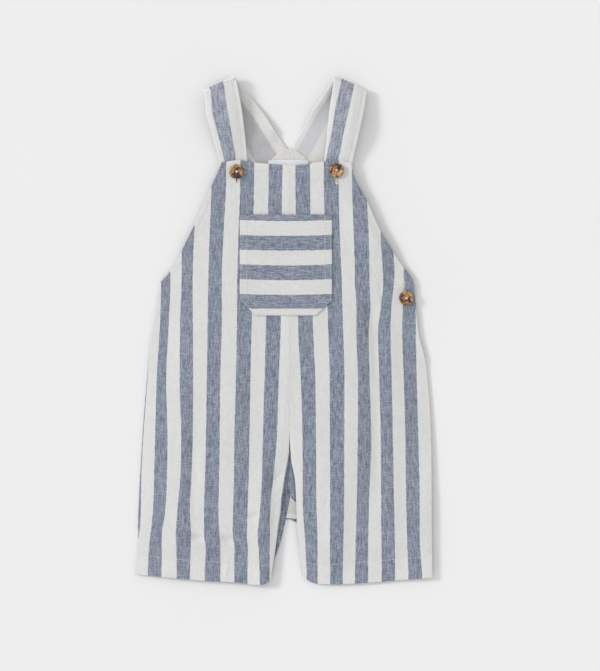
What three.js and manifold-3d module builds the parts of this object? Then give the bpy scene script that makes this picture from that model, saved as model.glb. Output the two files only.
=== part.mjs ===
// Toddler's dungaree shorts in striped linen, 12 to 18 months, laid out on their back, straps folded over.
// Millimetres. X runs across the garment, Y from the hems to the shoulder folds, and Z up from the surface.
// Left and right are the viewer's. The tables are measured from the centre front seam and the lowest point
// of the hems, and the whole is then moved so that the origin is under the middle of its box.

import * as THREE from 'three';
import { mergeVertices } from 'three/addons/utils/BufferGeometryUtils.js';
import Module from 'manifold-3d';

const wasm = await Module();
wasm.setup();

// Driving dimensions
const clothWall = 1.2;
const strapWall = 1.6;
const trimWall = 1.0;
const seamGap = 0.3;
const sideRound = 56;
const seamRound = 32;
const buttonDiameter = 15.2;
const buttonThickness = 3.2;

// Heights of the upper faces that lie on each other, from the surface up
const backTop = clothWall;
const sideSeamTop = backTop + seamGap + clothWall;
const facingTop = strapWall + seamGap + trimWall;
const labelTop = facingTop + seamGap + trimWall;
const linerTop = backTop + seamGap + trimWall;

// A table with named columns, read at any value of its first column on a curve that doesn't overshoot
function table(columns, rows) {
  const names = columns.split(' ');
  const sorted = [...rows].sort((a, b) => a[0] - b[0]);
  const keys = sorted.map((row) => row[0]);
  const values = names.map((name, c) => sorted.map((row) => row[c]));
  const slopes = values.map((list) => monotoneSlopes(keys, list));
  return (key) => {
    const k = THREE.MathUtils.clamp(key, keys[0], keys.at(-1));
    const i = Math.min(Math.max(keys.findLastIndex((at) => at <= k), 0), keys.length - 2);
    const span = keys[i + 1] - keys[i];
    const q = (k - keys[i]) / span;
    const read = {};
    names.forEach((name, c) => {
      read[name] = hermite(values[c][i], values[c][i + 1], slopes[c][i] * span, slopes[c][i + 1] * span, q);
    });
    return read;
  };
}

function monotoneSlopes(keys, values) {
  const secants = keys.slice(1).map((key, i) => (values[i + 1] - values[i]) / (key - keys[i]));
  return keys.map((key, i) => {
    const before = secants[i - 1] ?? secants[i];
    const after = secants[i] ?? secants[i - 1];
    return before * after > 0 ? (2 * before * after) / (before + after) : 0;
  });
}

function hermite(a, b, slopeA, slopeB, q) {
  const q2 = q * q;
  const q3 = q2 * q;
  return a * (2 * q3 - 3 * q2 + 1) + slopeA * (q3 - 2 * q2 + q) + b * (3 * q2 - 2 * q3) + slopeB * (q3 - q2);
}

function listOf(columns, rows) {
  const names = columns.split(' ');
  return rows.map((row) => Object.fromEntries(names.map((name, c) => [name, row[c]])));
}

// The front at each height: how far its outer edges and inseams stand from the centre, how high its crown
// rises over the side seams, and how far the outer edges and the centre seam or inseams are lifted
const frontLevels = table('y leftOuter rightOuter leftInner rightInner crown leftLift rightLift seamLift', [
  [442, 69.5, 63.2, 0, 0, 4.2, 3.9, 3.9, 3.9], // bib top
  [424, 77.2, 67.6, 0, 0, 4.4, 3.8, 3.8, 4.2],
  [400, 87.9, 80.4, 0, 0, 4.8, 3.5, 3.6, 4.6],
  [375, 98.8, 91.4, 0, 0, 5.3, 3.0, 3.2, 5.1], // armholes
  [350, 111.0, 105.8, 0, 0, 5.8, 2.3, 2.8, 5.6],
  [333, 119.1, 116.6, 0, 0, 6.1, 1.7, 2.5, 5.9],
  [323, 126.9, 124.8, 0, 0, 6.3, 1.0, 2.2, 6.1],
  [314, 134.3, 129.2, 0, 0, 6.4, 0.2, 1.8, 6.2], // underarm corners
  [291, 138.4, 131.2, 0, 0, 6.7, 0, 1.5, 6.4],
  [261, 143.4, 134.6, 0, 0, 6.8, 0, 1.5, 6.5], // side placket
  [238, 146.1, 140.2, 0, 0, 6.8, 0, 1.4, 6.4],
  [222, 147.2, 143.0, 0, 0, 6.7, 0, 0, 6.2],
  [158, 152.0, 147.4, 0, 0.4, 6.4, 0, 0, 4.4], // crotch
  [131, 153.6, 147.8, 0.9, 2.3, 6.2, 0, 0, 3.4],
  [107, 154.8, 148.0, 4.4, 5.6, 6.0, 0, 0, 2.8],
  [83, 155.9, 148.1, 7.3, 6.9, 5.8, 0, 0, 2.2],
  [62, 156.9, 148.2, 11.0, 7.5, 5.5, 0, 0, 1.7],
  [42, 158.4, 148.4, 13.5, 9.7, 5.2, 0, 0, 1.3],
  [22, 160.2, 148.5, 16.3, 12.1, 4.9, 0, 0, 1.0],
  [10, 161.7, 148.5, 18.2, 14.4, 4.7, 0, 0, 0.8], // hems
]);

// The bib's top edge and the hems, from the centre seam or inseam (0) to the outer edge (1)
const frontEnds = table('across leftTop rightTop leftHem rightHem', [
  [0, 436.0, 436.0, 4.9, 7.4],
  [0.06, 436.3, 436.1, 0.6, 2.4],
  [0.12, 436.6, 436.2, 0, 0.6],
  [0.25, 437.2, 436.8, 2.4, 0.3],
  [0.5, 438.8, 439.4, 4.4, 2.0],
  [0.75, 441.4, 441.4, 7.4, 4.7],
  [1, 439.3, 438.8, 10.9, 7.3],
]);

// The folds that show from a step away: middle, length, half width, lean from upright and height
const folds = listOf('x y length width lean height', [
  [88, 262, 130, 7, -5, -2.2], // narrowed stripe below the side button
  [91, 150, 170, 8, 0, -1.6],
  [104, 240, 110, 9, 3, 1.2],
  [60, 60, 120, 12, 2, 0.9],
  [121, 90, 150, 9, -1, -1.0],
  [32, 110, 130, 10, 4, 0.8],
  [-100, 120, 210, 8, 2, -1.6], // long trough down the left leg
  [-112, 60, 90, 9, 12, 1.3],
  [-80, 47, 110, 9, 88, 1.4], // ripple across the left leg above the hem
  [-84, 34, 110, 7, 86, -0.8],
  [-18, 104, 60, 6, 35, -1.2], // drag line from the crotch
  [-27, 112, 60, 7, 33, 0.8],
  [-126, 250, 110, 9, 3, -1.2],
  [-60, 180, 160, 12, 1, 0.7],
  [22, 405, 26, 6, 55, -0.5], // pull beside the bib button
  [120, 322, 40, 5, 70, -0.9],
]);

// The straps from the end under the bib to the shoulder fold, and from the fold to the seam at the back
const leftStrapFront = table('step outerX outerY innerX innerY z', [
  [0, -66.6, 412.5, -41.6, 414.0, 4.1],
  [0.3, -71.6, 437.6, -44.4, 440.5, 4.2],
  [0.5, -78.6, 465.0, -46.4, 463.5, 9.8],
  [0.65, -82.3, 477.3, -48.1, 478.9, 12.6],
  [0.8, -85.6, 489.0, -50.2, 494.0, 13.9],
  [1, -86.9, 510.3, -55.9, 525.7, 14.4],
]);
const leftStrapBack = table('step outerX outerY innerX innerY z', [
  [0, -86.9, 510.3, -55.9, 525.7, 7.6],
  [0.25, -74.5, 490.2, -42.6, 508.8, 6.6],
  [0.5, -62.0, 470.0, -28.8, 491.6, 5.0],
  [0.7, -51.1, 452.0, -18.2, 475.4, 2.6],
  [0.85, -42.8, 438.2, -9.8, 462.7, 0.8],
  [1, -34.4, 424.0, -1.4, 449.8, 0.8],
]);
const rightStrapFront = table('step outerX outerY innerX innerY z', [
  [0, 61.2, 412.5, 35.4, 414.0, 4.1],
  [0.3, 64.4, 437.6, 36.9, 440.5, 4.2],
  [0.5, 69.9, 462.0, 39.3, 463.5, 9.8],
  [0.65, 73.2, 477.0, 40.7, 478.9, 12.6],
  [0.8, 76.2, 491.0, 42.4, 494.0, 13.9],
  [1, 79.5, 511.5, 47.0, 525.0, 14.4],
]);
const rightStrapBack = table('step outerX outerY innerX innerY z', [
  [0, 79.5, 511.5, 47.0, 525.0, 7.6],
  [0.25, 69.0, 490.8, 35.5, 508.3, 6.6],
  [0.5, 58.6, 470.0, 24.0, 491.6, 5.0],
  [0.7, 49.2, 452.4, 15.2, 475.4, 2.6],
  [0.85, 42.0, 438.8, 8.1, 462.7, 0.8],
  [1, 34.6, 425.0, 0.9, 449.8, 0.8],
]);

// The back at each height, from the peak between the straps to the hems
const backInnerGap = seamGap / 2;
const backLevels = table('y leftOuter rightOuter leftInner rightInner', [
  [448.4, 1.6, 1.6, 0, 0], // peak
  [430, 25.0, 24.0, 0, 0],
  [421, 35.0, 35.0, 0, 0], // ends of the strap seams
  [400, 44.0, 43.0, 0, 0],
  [370, 66.0, 64.0, 0, 0],
  [340, 95.0, 93.0, 0, 0],
  [314, 132.6, 128.4, 0, 0],
  [291, 138.2, 131.0, 0, 0],
  [238, 146.0, 140.0, 0, 0],
  [200, 149.6, 144.6, 0, 0],
  [150, 153.4, 147.2, 0, 0],
  [74, 157.4, 148.0, 0, 0],
  [68.4, 157.6, 148.0, 0.3, 0.1], // crotch
  [67, 157.6, 148.0, 4.4, 0.6],
  [64.6, 157.7, 148.0, 5.2, 7.6],
  [58.4, 158.1, 148.0, 7.2, 8.8],
  [46.5, 158.7, 148.1, 10.4, 10.6],
  [36, 159.3, 148.2, 13.9, 12.0],
  [24, 160.1, 148.3, 16.4, 13.0],
  [10, 161.4, 148.3, 18.0, 14.8], // hems
]);

const chestPocket = { left: -51.6, right: 44.2, top: 384.8, bottom: 279.8, cornerX: 17, cornerY: 15.6 };
const sidePlacket = { top: 311, bottom: 240, inside: 24, outside: 1.6 };
const neckLabel = { left: -22, right: 19.5, top: 441, bottom: 428, bow: 1.0 };
const strapButtons = { left: { x: -54.9, y: 429.3 }, right: { x: 48.8, y: 430.5 } };
const sideButton = { x: 121.5, y: 298.1 };

// The half-moon at the back neck: half its width at each height
const facingLevels = table('y half', [
  [453.9, 1.2],
  [452.2, 6.5],
  [448, 12.6],
  [443.8, 17.6],
  [438.6, 21.6],
  [431, 25.6],
  [422, 27.5],
]);

const white = '#e3e3e0';
const blue = '#8089a0';
const cream = '#dedcd4';
const linen = (color) => new THREE.MeshStandardMaterial({ color, roughness: 0.92, metalness: 0 });
const horn = new THREE.MeshStandardMaterial({ color: '#8a5a34', roughness: 0.28, metalness: 0 });

const mix = THREE.MathUtils.lerp;

// A quarter of a round: 0 at the edge and 1 from a distance of one on
function rise(distance) {
  return 1 - (1 - THREE.MathUtils.clamp(distance, 0, 1)) ** 2;
}

function foldHeight(x, y) {
  return folds.reduce((sum, fold) => {
    const lean = THREE.MathUtils.degToRad(fold.lean);
    const dx = x - fold.x;
    const dy = y - fold.y;
    const along = (dx * Math.sin(lean) + dy * Math.cos(lean)) / (fold.length / 2);
    const across = (dx * Math.cos(lean) - dy * Math.sin(lean)) / fold.width;
    const reach = Math.abs(along) < 1 ? Math.cos((along * Math.PI) / 2) ** 2 : 0;
    return sum + fold.height * reach * Math.exp(-across * across);
  }, 0);
}

// Height of the front's outer face over any point: a pillow that drops to the side seams and inseams
function frontTop(x, y) {
  const side = x < 0 ? 'left' : 'right';
  const level = frontLevels(y);
  const fromEdge = Math.max(level[`${side}Outer`] - Math.abs(x), 0);
  const fromSeam = Math.max(Math.abs(x) - level[`${side}Inner`], 0);
  const overEdge = mix(level[`${side}Lift`], level.crown, rise(fromEdge / sideRound));
  const overSeam = mix(level.seamLift, level.crown, rise(fromSeam / seamRound));
  const faded = rise(fromEdge / 26) * rise((fromSeam + level.seamLift * 4) / 16);
  return sideSeamTop + (overEdge * overSeam) / level.crown + foldHeight(x, y) * faded;
}

// A closed wall of cloth under a grid of points on its upper face
function clothSolid(rowCount, columnCount, wall, pointAt) {
  const grid = [];
  for (let r = 0; r <= rowCount; r += 1) {
    grid.push([]);
    for (let c = 0; c <= columnCount; c += 1) grid[r].push(pointAt(r / rowCount, c / columnCount));
  }
  const positions = [];
  const under = [];
  for (let r = 0; r <= rowCount; r += 1) {
    for (let c = 0; c <= columnCount; c += 1) {
      const down = grid[Math.min(r + 1, rowCount)][c].clone().sub(grid[Math.max(r - 1, 0)][c]);
      const over = grid[r][Math.min(c + 1, columnCount)].clone().sub(grid[r][Math.max(c - 1, 0)]);
      const normal = over.cross(down).normalize();
      positions.push(...grid[r][c].toArray());
      under.push(...grid[r][c].clone().addScaledVector(normal, wall).toArray());
    }
  }
  const lower = (rowCount + 1) * (columnCount + 1);
  const at = (r, c) => r * (columnCount + 1) + c;
  const index = [];
  const quad = (a, b, c, d) => index.push(a, b, c, a, c, d);
  for (let r = 0; r < rowCount; r += 1) {
    for (let c = 0; c < columnCount; c += 1) {
      quad(at(r, c), at(r + 1, c), at(r + 1, c + 1), at(r, c + 1));
      quad(lower + at(r, c), lower + at(r, c + 1), lower + at(r + 1, c + 1), lower + at(r + 1, c));
    }
  }
  const rim = [];
  for (let c = 0; c < columnCount; c += 1) rim.push(at(0, c));
  for (let r = 0; r < rowCount; r += 1) rim.push(at(r, columnCount));
  for (let c = columnCount; c > 0; c -= 1) rim.push(at(rowCount, c));
  for (let r = rowCount; r > 0; r -= 1) rim.push(at(r, 0));
  rim.forEach((from, i) => {
    const to = rim[(i + 1) % rim.length];
    quad(from, to, lower + to, lower + from);
  });
  const geometry = new THREE.BufferGeometry();
  geometry.setAttribute('position', new THREE.Float32BufferAttribute([...positions, ...under], 3));
  geometry.setIndex(index);
  return facingOut(geometry);
}

// Turns every face round where the solid came out with its faces pointing in
function facingOut(geometry) {
  const p = geometry.getAttribute('position');
  const index = geometry.getIndex();
  const [a, b, c] = [new THREE.Vector3(), new THREE.Vector3(), new THREE.Vector3()];
  let volume = 0;
  for (let i = 0; i < index.count; i += 3) {
    a.fromBufferAttribute(p, index.getX(i));
    b.fromBufferAttribute(p, index.getX(i + 1));
    c.fromBufferAttribute(p, index.getX(i + 2));
    volume += a.dot(b.cross(c));
  }
  if (volume < 0) geometry.setIndex(Array.from(index.array).reverse());
  geometry.computeVertexNormals();
  return geometry;
}

function part(name, geometry, material) {
  const mesh = new THREE.Mesh(geometry, material);
  mesh.name = name;
  return mesh;
}

// Half of the front, from bib top to hem, with the folds in it
function frontHalf(side) {
  const sign = side === 'left' ? -1 : 1;
  const innerEnds = frontEnds(0);
  const outerEnds = frontEnds(1);
  const geometry = clothSolid(44, 20, clothWall, (down, fromLeft) => {
    const across = side === 'left' ? 1 - fromLeft : fromLeft;
    const ends = frontEnds(across);
    const y = mix(ends[`${side}Top`], ends[`${side}Hem`], down);
    const inner = frontLevels(mix(innerEnds[`${side}Top`], innerEnds[`${side}Hem`], down))[`${side}Inner`];
    const outer = frontLevels(mix(outerEnds[`${side}Top`], outerEnds[`${side}Hem`], down))[`${side}Outer`];
    const x = sign * mix(inner + seamGap / 2, outer, across);
    return new THREE.Vector3(x, y, frontTop(x, y));
  });
  return part(`front_${side}`, geometry, linen(side === 'left' ? white : '#dcdcda'));
}

// Half of the back, flat on the surface
function backHalf(side) {
  const sign = side === 'left' ? -1 : 1;
  const top = 448.4;
  const geometry = clothSolid(56, 5, clothWall, (down, fromLeft) => {
    const across = side === 'left' ? 1 - fromLeft : fromLeft;
    const ends = frontEnds(across);
    const y = mix(top, ends[`${side}Hem`] + 0.8, down);
    const level = backLevels(y);
    const x = sign * mix(level[`${side}Inner`] + backInnerGap, level[`${side}Outer`], across);
    return new THREE.Vector3(x, y, backTop);
  });
  return part(`back_${side}`, geometry, linen(blue));
}

// One strap: up from under the bib, round the shoulder fold and down to the back
function strap(side, front, back) {
  const foldSteps = 10;
  const frontSteps = 14;
  const backSteps = 10;
  const total = frontSteps + foldSteps + backSteps;
  const fold = front(1);
  const low = back(0);
  const radius = (fold.z - low.z) / 2;
  const foldLine = new THREE.Vector2(fold.innerX - fold.outerX, fold.innerY - fold.outerY).normalize();
  const away = new THREE.Vector2(-foldLine.y, foldLine.x);
  if (away.y < 0) away.negate();
  const geometry = clothSolid(total, 4, strapWall, (along, across) => {
    const step = Math.round(along * total);
    if (step <= frontSteps) return between(front(step / frontSteps), across);
    if (step >= frontSteps + foldSteps) return between(back((step - frontSteps - foldSteps) / backSteps), across);
    const turn = ((step - frontSteps) / foldSteps) * Math.PI;
    const point = between(fold, across);
    point.x += away.x * radius * Math.sin(turn);
    point.y += away.y * radius * Math.sin(turn);
    point.z = low.z + radius + radius * Math.cos(turn);
    return point;
  });
  return part(`strap_${side}`, centredWall(geometry, total, 4), linen(white));
}

function between(row, across) {
  return new THREE.Vector3(mix(row.outerX, row.innerX, across), mix(row.outerY, row.innerY, across), row.z);
}

// Moves a wall that hangs from its grid so that the grid runs through its middle
function centredWall(geometry, rowCount, columnCount) {
  const p = geometry.getAttribute('position');
  const count = (rowCount + 1) * (columnCount + 1);
  for (let i = 0; i < count; i += 1) {
    for (const axis of ['X', 'Y', 'Z']) {
      const [upper, under] = [p[`get${axis}`](i), p[`get${axis}`](i + count)];
      const half = (under - upper) / 2;
      p[`set${axis}`](i, upper - half);
      p[`set${axis}`](i + count, under - half);
    }
  }
  return geometry;
}

// A patch pocket with cut corners, laid on the front's own points and moved out
function pocket() {
  const { left, right, top, bottom, cornerX, cornerY } = chestPocket;
  const rows = 15;
  const cutRows = 3;
  const geometry = clothSolid(rows, 16, trimWall, (down, across) => {
    const row = Math.round(down * rows);
    const cutShare = Math.max(row - (rows - cutRows), 0) / cutRows;
    const y = row <= rows - cutRows
      ? mix(top, bottom + cornerY, row / (rows - cutRows))
      : mix(bottom + cornerY, bottom, cutShare);
    const x = mix(left + cornerX * cutShare, right - cornerX * cutShare, across);
    return new THREE.Vector3(x, y, frontTop(x, y) + seamGap + trimWall);
  });
  return part('chest_pocket', geometry, linen(white));
}

// The half-moon that covers the strap ends at the back neck
function backFacing() {
  const geometry = clothSolid(9, 8, trimWall, (down, across) => {
    const y = mix(453.9, 422, down ** 1.4);
    const x = mix(-1, 1, across) * facingLevels(y).half;
    return new THREE.Vector3(x, y, facingTop);
  });
  return part('back_facing', geometry, linen(cream));
}

function label() {
  const { left, right, top, bottom, bow } = neckLabel;
  const geometry = clothSolid(3, 8, trimWall, (down, across) => {
    const sag = bow * (1 - (2 * across - 1) ** 2);
    return new THREE.Vector3(mix(left, right, across), mix(top + sag, bottom, down), labelTop);
  });
  return part('neck_label', geometry, linen('#ebebf2'));
}

// The underlap of the side opening, between the back and the front's loose edge
function placket() {
  const { top, bottom, inside, outside } = sidePlacket;
  const geometry = clothSolid(8, 3, trimWall, (down, across) => {
    const y = mix(top, bottom, down);
    const edge = frontLevels(y).rightOuter;
    return new THREE.Vector3(mix(edge - inside, edge + outside, across), y, linerTop);
  });
  return part('side_placket', geometry, linen(white));
}

// The white piece with a narrow hem that shows in the fork between the legs
function gusset() {
  const rows = table('down leftX rightX leftY rightY', [
    [0, 0.2, 3.4, 91.6, 89.2],
    [0.3, -0.8, 9.6, 84.8, 82.6],
    [1, -3.6, 14.0, 69.2, 66.8],
  ]);
  const geometry = clothSolid(5, 4, trimWall, (down, across) => {
    const row = rows(down);
    return new THREE.Vector3(mix(row.leftX, row.rightX, across), mix(row.leftY, row.rightY, across), linerTop);
  });
  return part('crotch_gusset', geometry, linen(white));
}

// A turned button with a raised rim, a dished middle and four thread holes
function buttonGeometry() {
  const r = buttonDiameter / 2;
  const t = buttonThickness;
  const profile = [
    [0, 0], [0.62, 0], [0.92, 0.18], [1, 0.5], [0.95, 0.84], [0.84, 1], [0.7, 0.9], [0.58, 0.66], [0, 0.6],
  ].map(([radial, height]) => new THREE.Vector2(radial * r, height * t));
  const body = solidFrom(new THREE.LatheGeometry(profile, 24));
  const holeRadius = 0.9;
  const holeSpacing = 1.6;
  const holes = [[1, 1], [-1, 1], [-1, -1], [1, -1]].map(([sx, sz]) => {
    const hole = new THREE.CylinderGeometry(holeRadius, holeRadius, 3 * t, 8);
    hole.translate(sx * holeSpacing, 0, sz * holeSpacing);
    return solidFrom(hole);
  });
  const cut = holes.reduce((rest, hole) => rest.subtract(hole), body).getMesh();
  const geometry = new THREE.BufferGeometry();
  geometry.setAttribute('position', new THREE.Float32BufferAttribute(cut.vertProperties, 3));
  geometry.setIndex(Array.from(cut.triVerts));
  geometry.rotateX(Math.PI / 2);
  geometry.computeVertexNormals();
  return geometry;
}

function solidFrom(geometry) {
  geometry.deleteAttribute('normal');
  geometry.deleteAttribute('uv');
  const merged = mergeVertices(geometry, 1e-4);
  const vertProperties = new Float32Array(merged.getAttribute('position').array);
  const triVerts = new Uint32Array(merged.getIndex().array);
  return new wasm.Manifold(new wasm.Mesh({ numProp: 3, vertProperties, triVerts }));
}

// A button on its thread just off the front, square to the cloth under it
function button(name, place) {
  const mesh = part(name, buttonGeometry(), horn);
  const reach = 6;
  const slopeX = (frontTop(place.x + reach, place.y) - frontTop(place.x - reach, place.y)) / (2 * reach);
  const slopeY = (frontTop(place.x, place.y + reach) - frontTop(place.x, place.y - reach)) / (2 * reach);
  const normal = new THREE.Vector3(-slopeX, -slopeY, 1).normalize();
  mesh.quaternion.setFromUnitVectors(new THREE.Vector3(0, 0, 1), normal);
  mesh.position.set(place.x, place.y, frontTop(place.x, place.y)).addScaledVector(normal, 0.55);
  return mesh;
}

const dungarees = new THREE.Group();
dungarees.add(
  backHalf('left'),
  backHalf('right'),
  strap('left', leftStrapFront, leftStrapBack),
  strap('right', rightStrapFront, rightStrapBack),
  backFacing(),
  label(),
  gusset(),
  placket(),
  frontHalf('left'),
  frontHalf('right'),
  pocket(),
  button('strap_button_left', strapButtons.left),
  button('strap_button_right', strapButtons.right),
  button('side_button', sideButton),
);
const middle = new THREE.Box3().setFromObject(dungarees, true).getCenter(new THREE.Vector3());
dungarees.position.set(-middle.x, -middle.y, 0);

export default dungarees;
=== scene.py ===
# Toddler's dungarees in striped linen, laid on their back on a pale surface. Left and right are the viewer's.
# Lengths are in mm until placeMesh turns them to metres. x is measured from the centre front seam, y from the
# lowest point of the hems and z from the surface.
import math

import bpy
import numpy as np
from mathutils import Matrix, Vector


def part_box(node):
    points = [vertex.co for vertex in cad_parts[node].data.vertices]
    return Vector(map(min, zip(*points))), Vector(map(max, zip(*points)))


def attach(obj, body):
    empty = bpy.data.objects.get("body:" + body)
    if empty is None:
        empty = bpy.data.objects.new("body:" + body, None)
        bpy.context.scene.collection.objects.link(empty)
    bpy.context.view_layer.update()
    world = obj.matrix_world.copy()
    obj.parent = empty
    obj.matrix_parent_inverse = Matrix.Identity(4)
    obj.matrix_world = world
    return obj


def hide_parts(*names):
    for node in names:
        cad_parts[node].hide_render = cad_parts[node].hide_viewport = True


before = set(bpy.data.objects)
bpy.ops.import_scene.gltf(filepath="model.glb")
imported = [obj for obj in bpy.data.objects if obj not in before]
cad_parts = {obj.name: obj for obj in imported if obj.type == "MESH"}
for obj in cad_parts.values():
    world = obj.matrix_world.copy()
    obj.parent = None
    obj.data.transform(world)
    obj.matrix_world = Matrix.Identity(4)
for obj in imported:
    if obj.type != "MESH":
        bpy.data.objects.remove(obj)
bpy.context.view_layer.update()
mm = 0.001
seamX = (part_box("front_left")[1].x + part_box("front_right")[0].x) / 2 / mm
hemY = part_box("front_left")[0].y / mm

photoFrame = {"pixelsHigh": 671, "mmPerPixel": 1.04, "middleX": 10.9, "middleY": 259.2}
photoCamera = {"height": 2200, "aimZ": 4, "near": 50, "far": 20000}
studio = {
    "keyStrength": 1.5,
    "keyElevation": 30,  # degrees above the surface
    "keyBearing": 160,  # from the viewer's right, anticlockwise: upper left
    "keySoftness": 14,
    "fillStrength": 0.83,
    "paper": 0.8,
    "paperUneven": 0.005,
    "floorReach": 4000,
    "floorZ": -0.2,
}


# Tables, curves and surfaces

# Reads a table with named columns at any value of its first column, on a monotone cubic through its rows
def table(names, rows):
    data = np.array(sorted(rows), float)
    keys, values = data[:, 0], data[:, 1:]
    span = np.diff(keys)
    secant = np.diff(values, axis=0) / span[:, None]
    slope = np.zeros_like(values)
    product, total = secant[:-1] * secant[1:], secant[:-1] + secant[1:]
    slope[1:-1] = np.where(product > 0, 2 * product / np.where(total == 0, 1, total), 0)
    slope[0], slope[-1] = secant[0], secant[-1]

    def read(key):
        k = np.clip(key, keys[0], keys[-1])
        i = np.clip(np.searchsorted(keys, k, side="right") - 1, 0, len(keys) - 2)
        q = ((k - keys[i]) / span[i])[..., None]
        step = span[i][..., None]
        found = (
            values[i] * (2 * q**3 - 3 * q**2 + 1)
            + slope[i] * step * (q**3 - 2 * q**2 + q)
            + values[i + 1] * (3 * q**2 - 2 * q**3)
            + slope[i + 1] * step * (q**3 - q**2)
        )
        return dict(zip(names.split(), np.moveaxis(found, -1, 0)))

    return read


# 0 at the edge and 1 from a distance of one on, as a quarter round: 1 - (1 - d) squared
def rise(distance):
    return 1 - (1 - np.clip(distance, 0, 1)) ** 2


# 0 below low and 1 above high, eased at both ends: 3 q squared - 2 q cubed
def ease(value, low, high):
    q = np.clip((value - low) / (high - low), 0, 1)
    return q * q * (3 - 2 * q)


# A bell, 1 at zero: e to the minus square of distance over width
def bell(distance, width):
    return np.exp(-((distance / width) ** 2))


# Even random lumps: seeded values on a lattice of the given sizes, joined by eased steps in both directions
def lumps(x, y, sizeX, sizeY, seed):
    side = 97
    lattice = np.random.default_rng(seed).uniform(-1, 1, (side, side))
    gx, gy = x / sizeX + 500, y / sizeY + 500
    ix, iy = np.floor(gx).astype(int), np.floor(gy).astype(int)
    qx, qy = ease(gx - ix, 0, 1), ease(gy - iy, 0, 1)
    at = lambda i, j: lattice[i % side, j % side]
    near = at(ix, iy) * (1 - qx) + at(ix + 1, iy) * qx
    far = at(ix, iy + 1) * (1 - qx) + at(ix + 1, iy + 1) * qx
    return near * (1 - qy) + far * qy


def unit(v):
    return v / np.maximum(np.linalg.norm(v, axis=-1, keepdims=True), 1e-9)


# Even steps from 0 to 1 with two or more close ones at each end, so that a panel's rim turns cleanly
def steps(count, length, close=(0.7, 1.8)):
    inner = np.linspace(0, 1, count)[1:-1]
    near = np.array(close) / length
    inner = inner[(inner > near[-1] * 1.4) & (inner < 1 - near[-1] * 1.4)]
    return np.concatenate([[0], near, inner, 1 - near[::-1], [1]])


# Meshes

# Makes the object: points in mm go to metres in the frame. The grain map holds the cloth's own place across
# and along its stripes in mm, and ply how far the cloth there lies double.
def placeMesh(
    name, points, faces, materials, slotName, grain=None, ply=None, faceMaterial=None, nodes=(), smooth=None
):
    places = (np.array(points, float) + [seamX, hemY, 0]) * mm
    mesh = bpy.data.meshes.new(name)
    corners = np.concatenate([f.ravel() for f in faces])
    sizes = np.concatenate([np.full(len(f), f.shape[1]) for f in faces])
    mesh.vertices.add(len(places))
    mesh.vertices.foreach_set("co", places.astype(np.float32).ravel())
    mesh.loops.add(len(corners))
    mesh.loops.foreach_set("vertex_index", corners.astype(np.int32))
    mesh.polygons.add(len(sizes))
    mesh.polygons.foreach_set("loop_start", (np.cumsum(sizes) - sizes).astype(np.int32))
    mesh.polygons.foreach_set("loop_total", sizes.astype(np.int32))
    mesh.polygons.foreach_set("use_smooth", np.ones(len(sizes), bool) if smooth is None else smooth)
    for material in materials:
        mesh.materials.append(material)
    if faceMaterial is not None:
        mesh.polygons.foreach_set("material_index", faceMaterial.astype(np.int32))
    if grain is not None:
        layer = mesh.uv_layers.new(name="grain")
        layer.data.foreach_set("uv", np.asarray(grain)[corners].astype(np.float32).ravel())
    if ply is not None:
        layer = mesh.attributes.new("ply", "FLOAT", "POINT")
        layer.data.foreach_set("value", np.asarray(ply).astype(np.float32).ravel())
    mesh.update()
    mesh.validate()
    piece = bpy.data.objects.new(name, mesh)
    bpy.context.collection.objects.link(piece)
    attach(piece, "root")
    if nodes:
        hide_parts(*nodes)
    return piece


# Turns all faces over where their signed volume is negative, so that they point outwards
def facingOut(points, faces):
    total = 0.0
    for f in faces:
        for k in range(1, f.shape[1] - 1):
            a, b, c = points[f[:, 0]], points[f[:, k]], points[f[:, k + 1]]
            total += float(np.einsum("ij,ij->", a, np.cross(b, c)))
    return faces if total >= 0 else [f[:, ::-1] for f in faces]


# Quads between the rows of a grid of vertex numbers that closes on itself along its last axis
def ringQuads(index):
    after = np.roll(index, -1, axis=-1)
    low, high = (..., slice(None, -1), slice(None)), (..., slice(1, None), slice(None))
    return np.stack([index[low], after[low], after[high], index[high]], -1).reshape(-1, 4)


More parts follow.
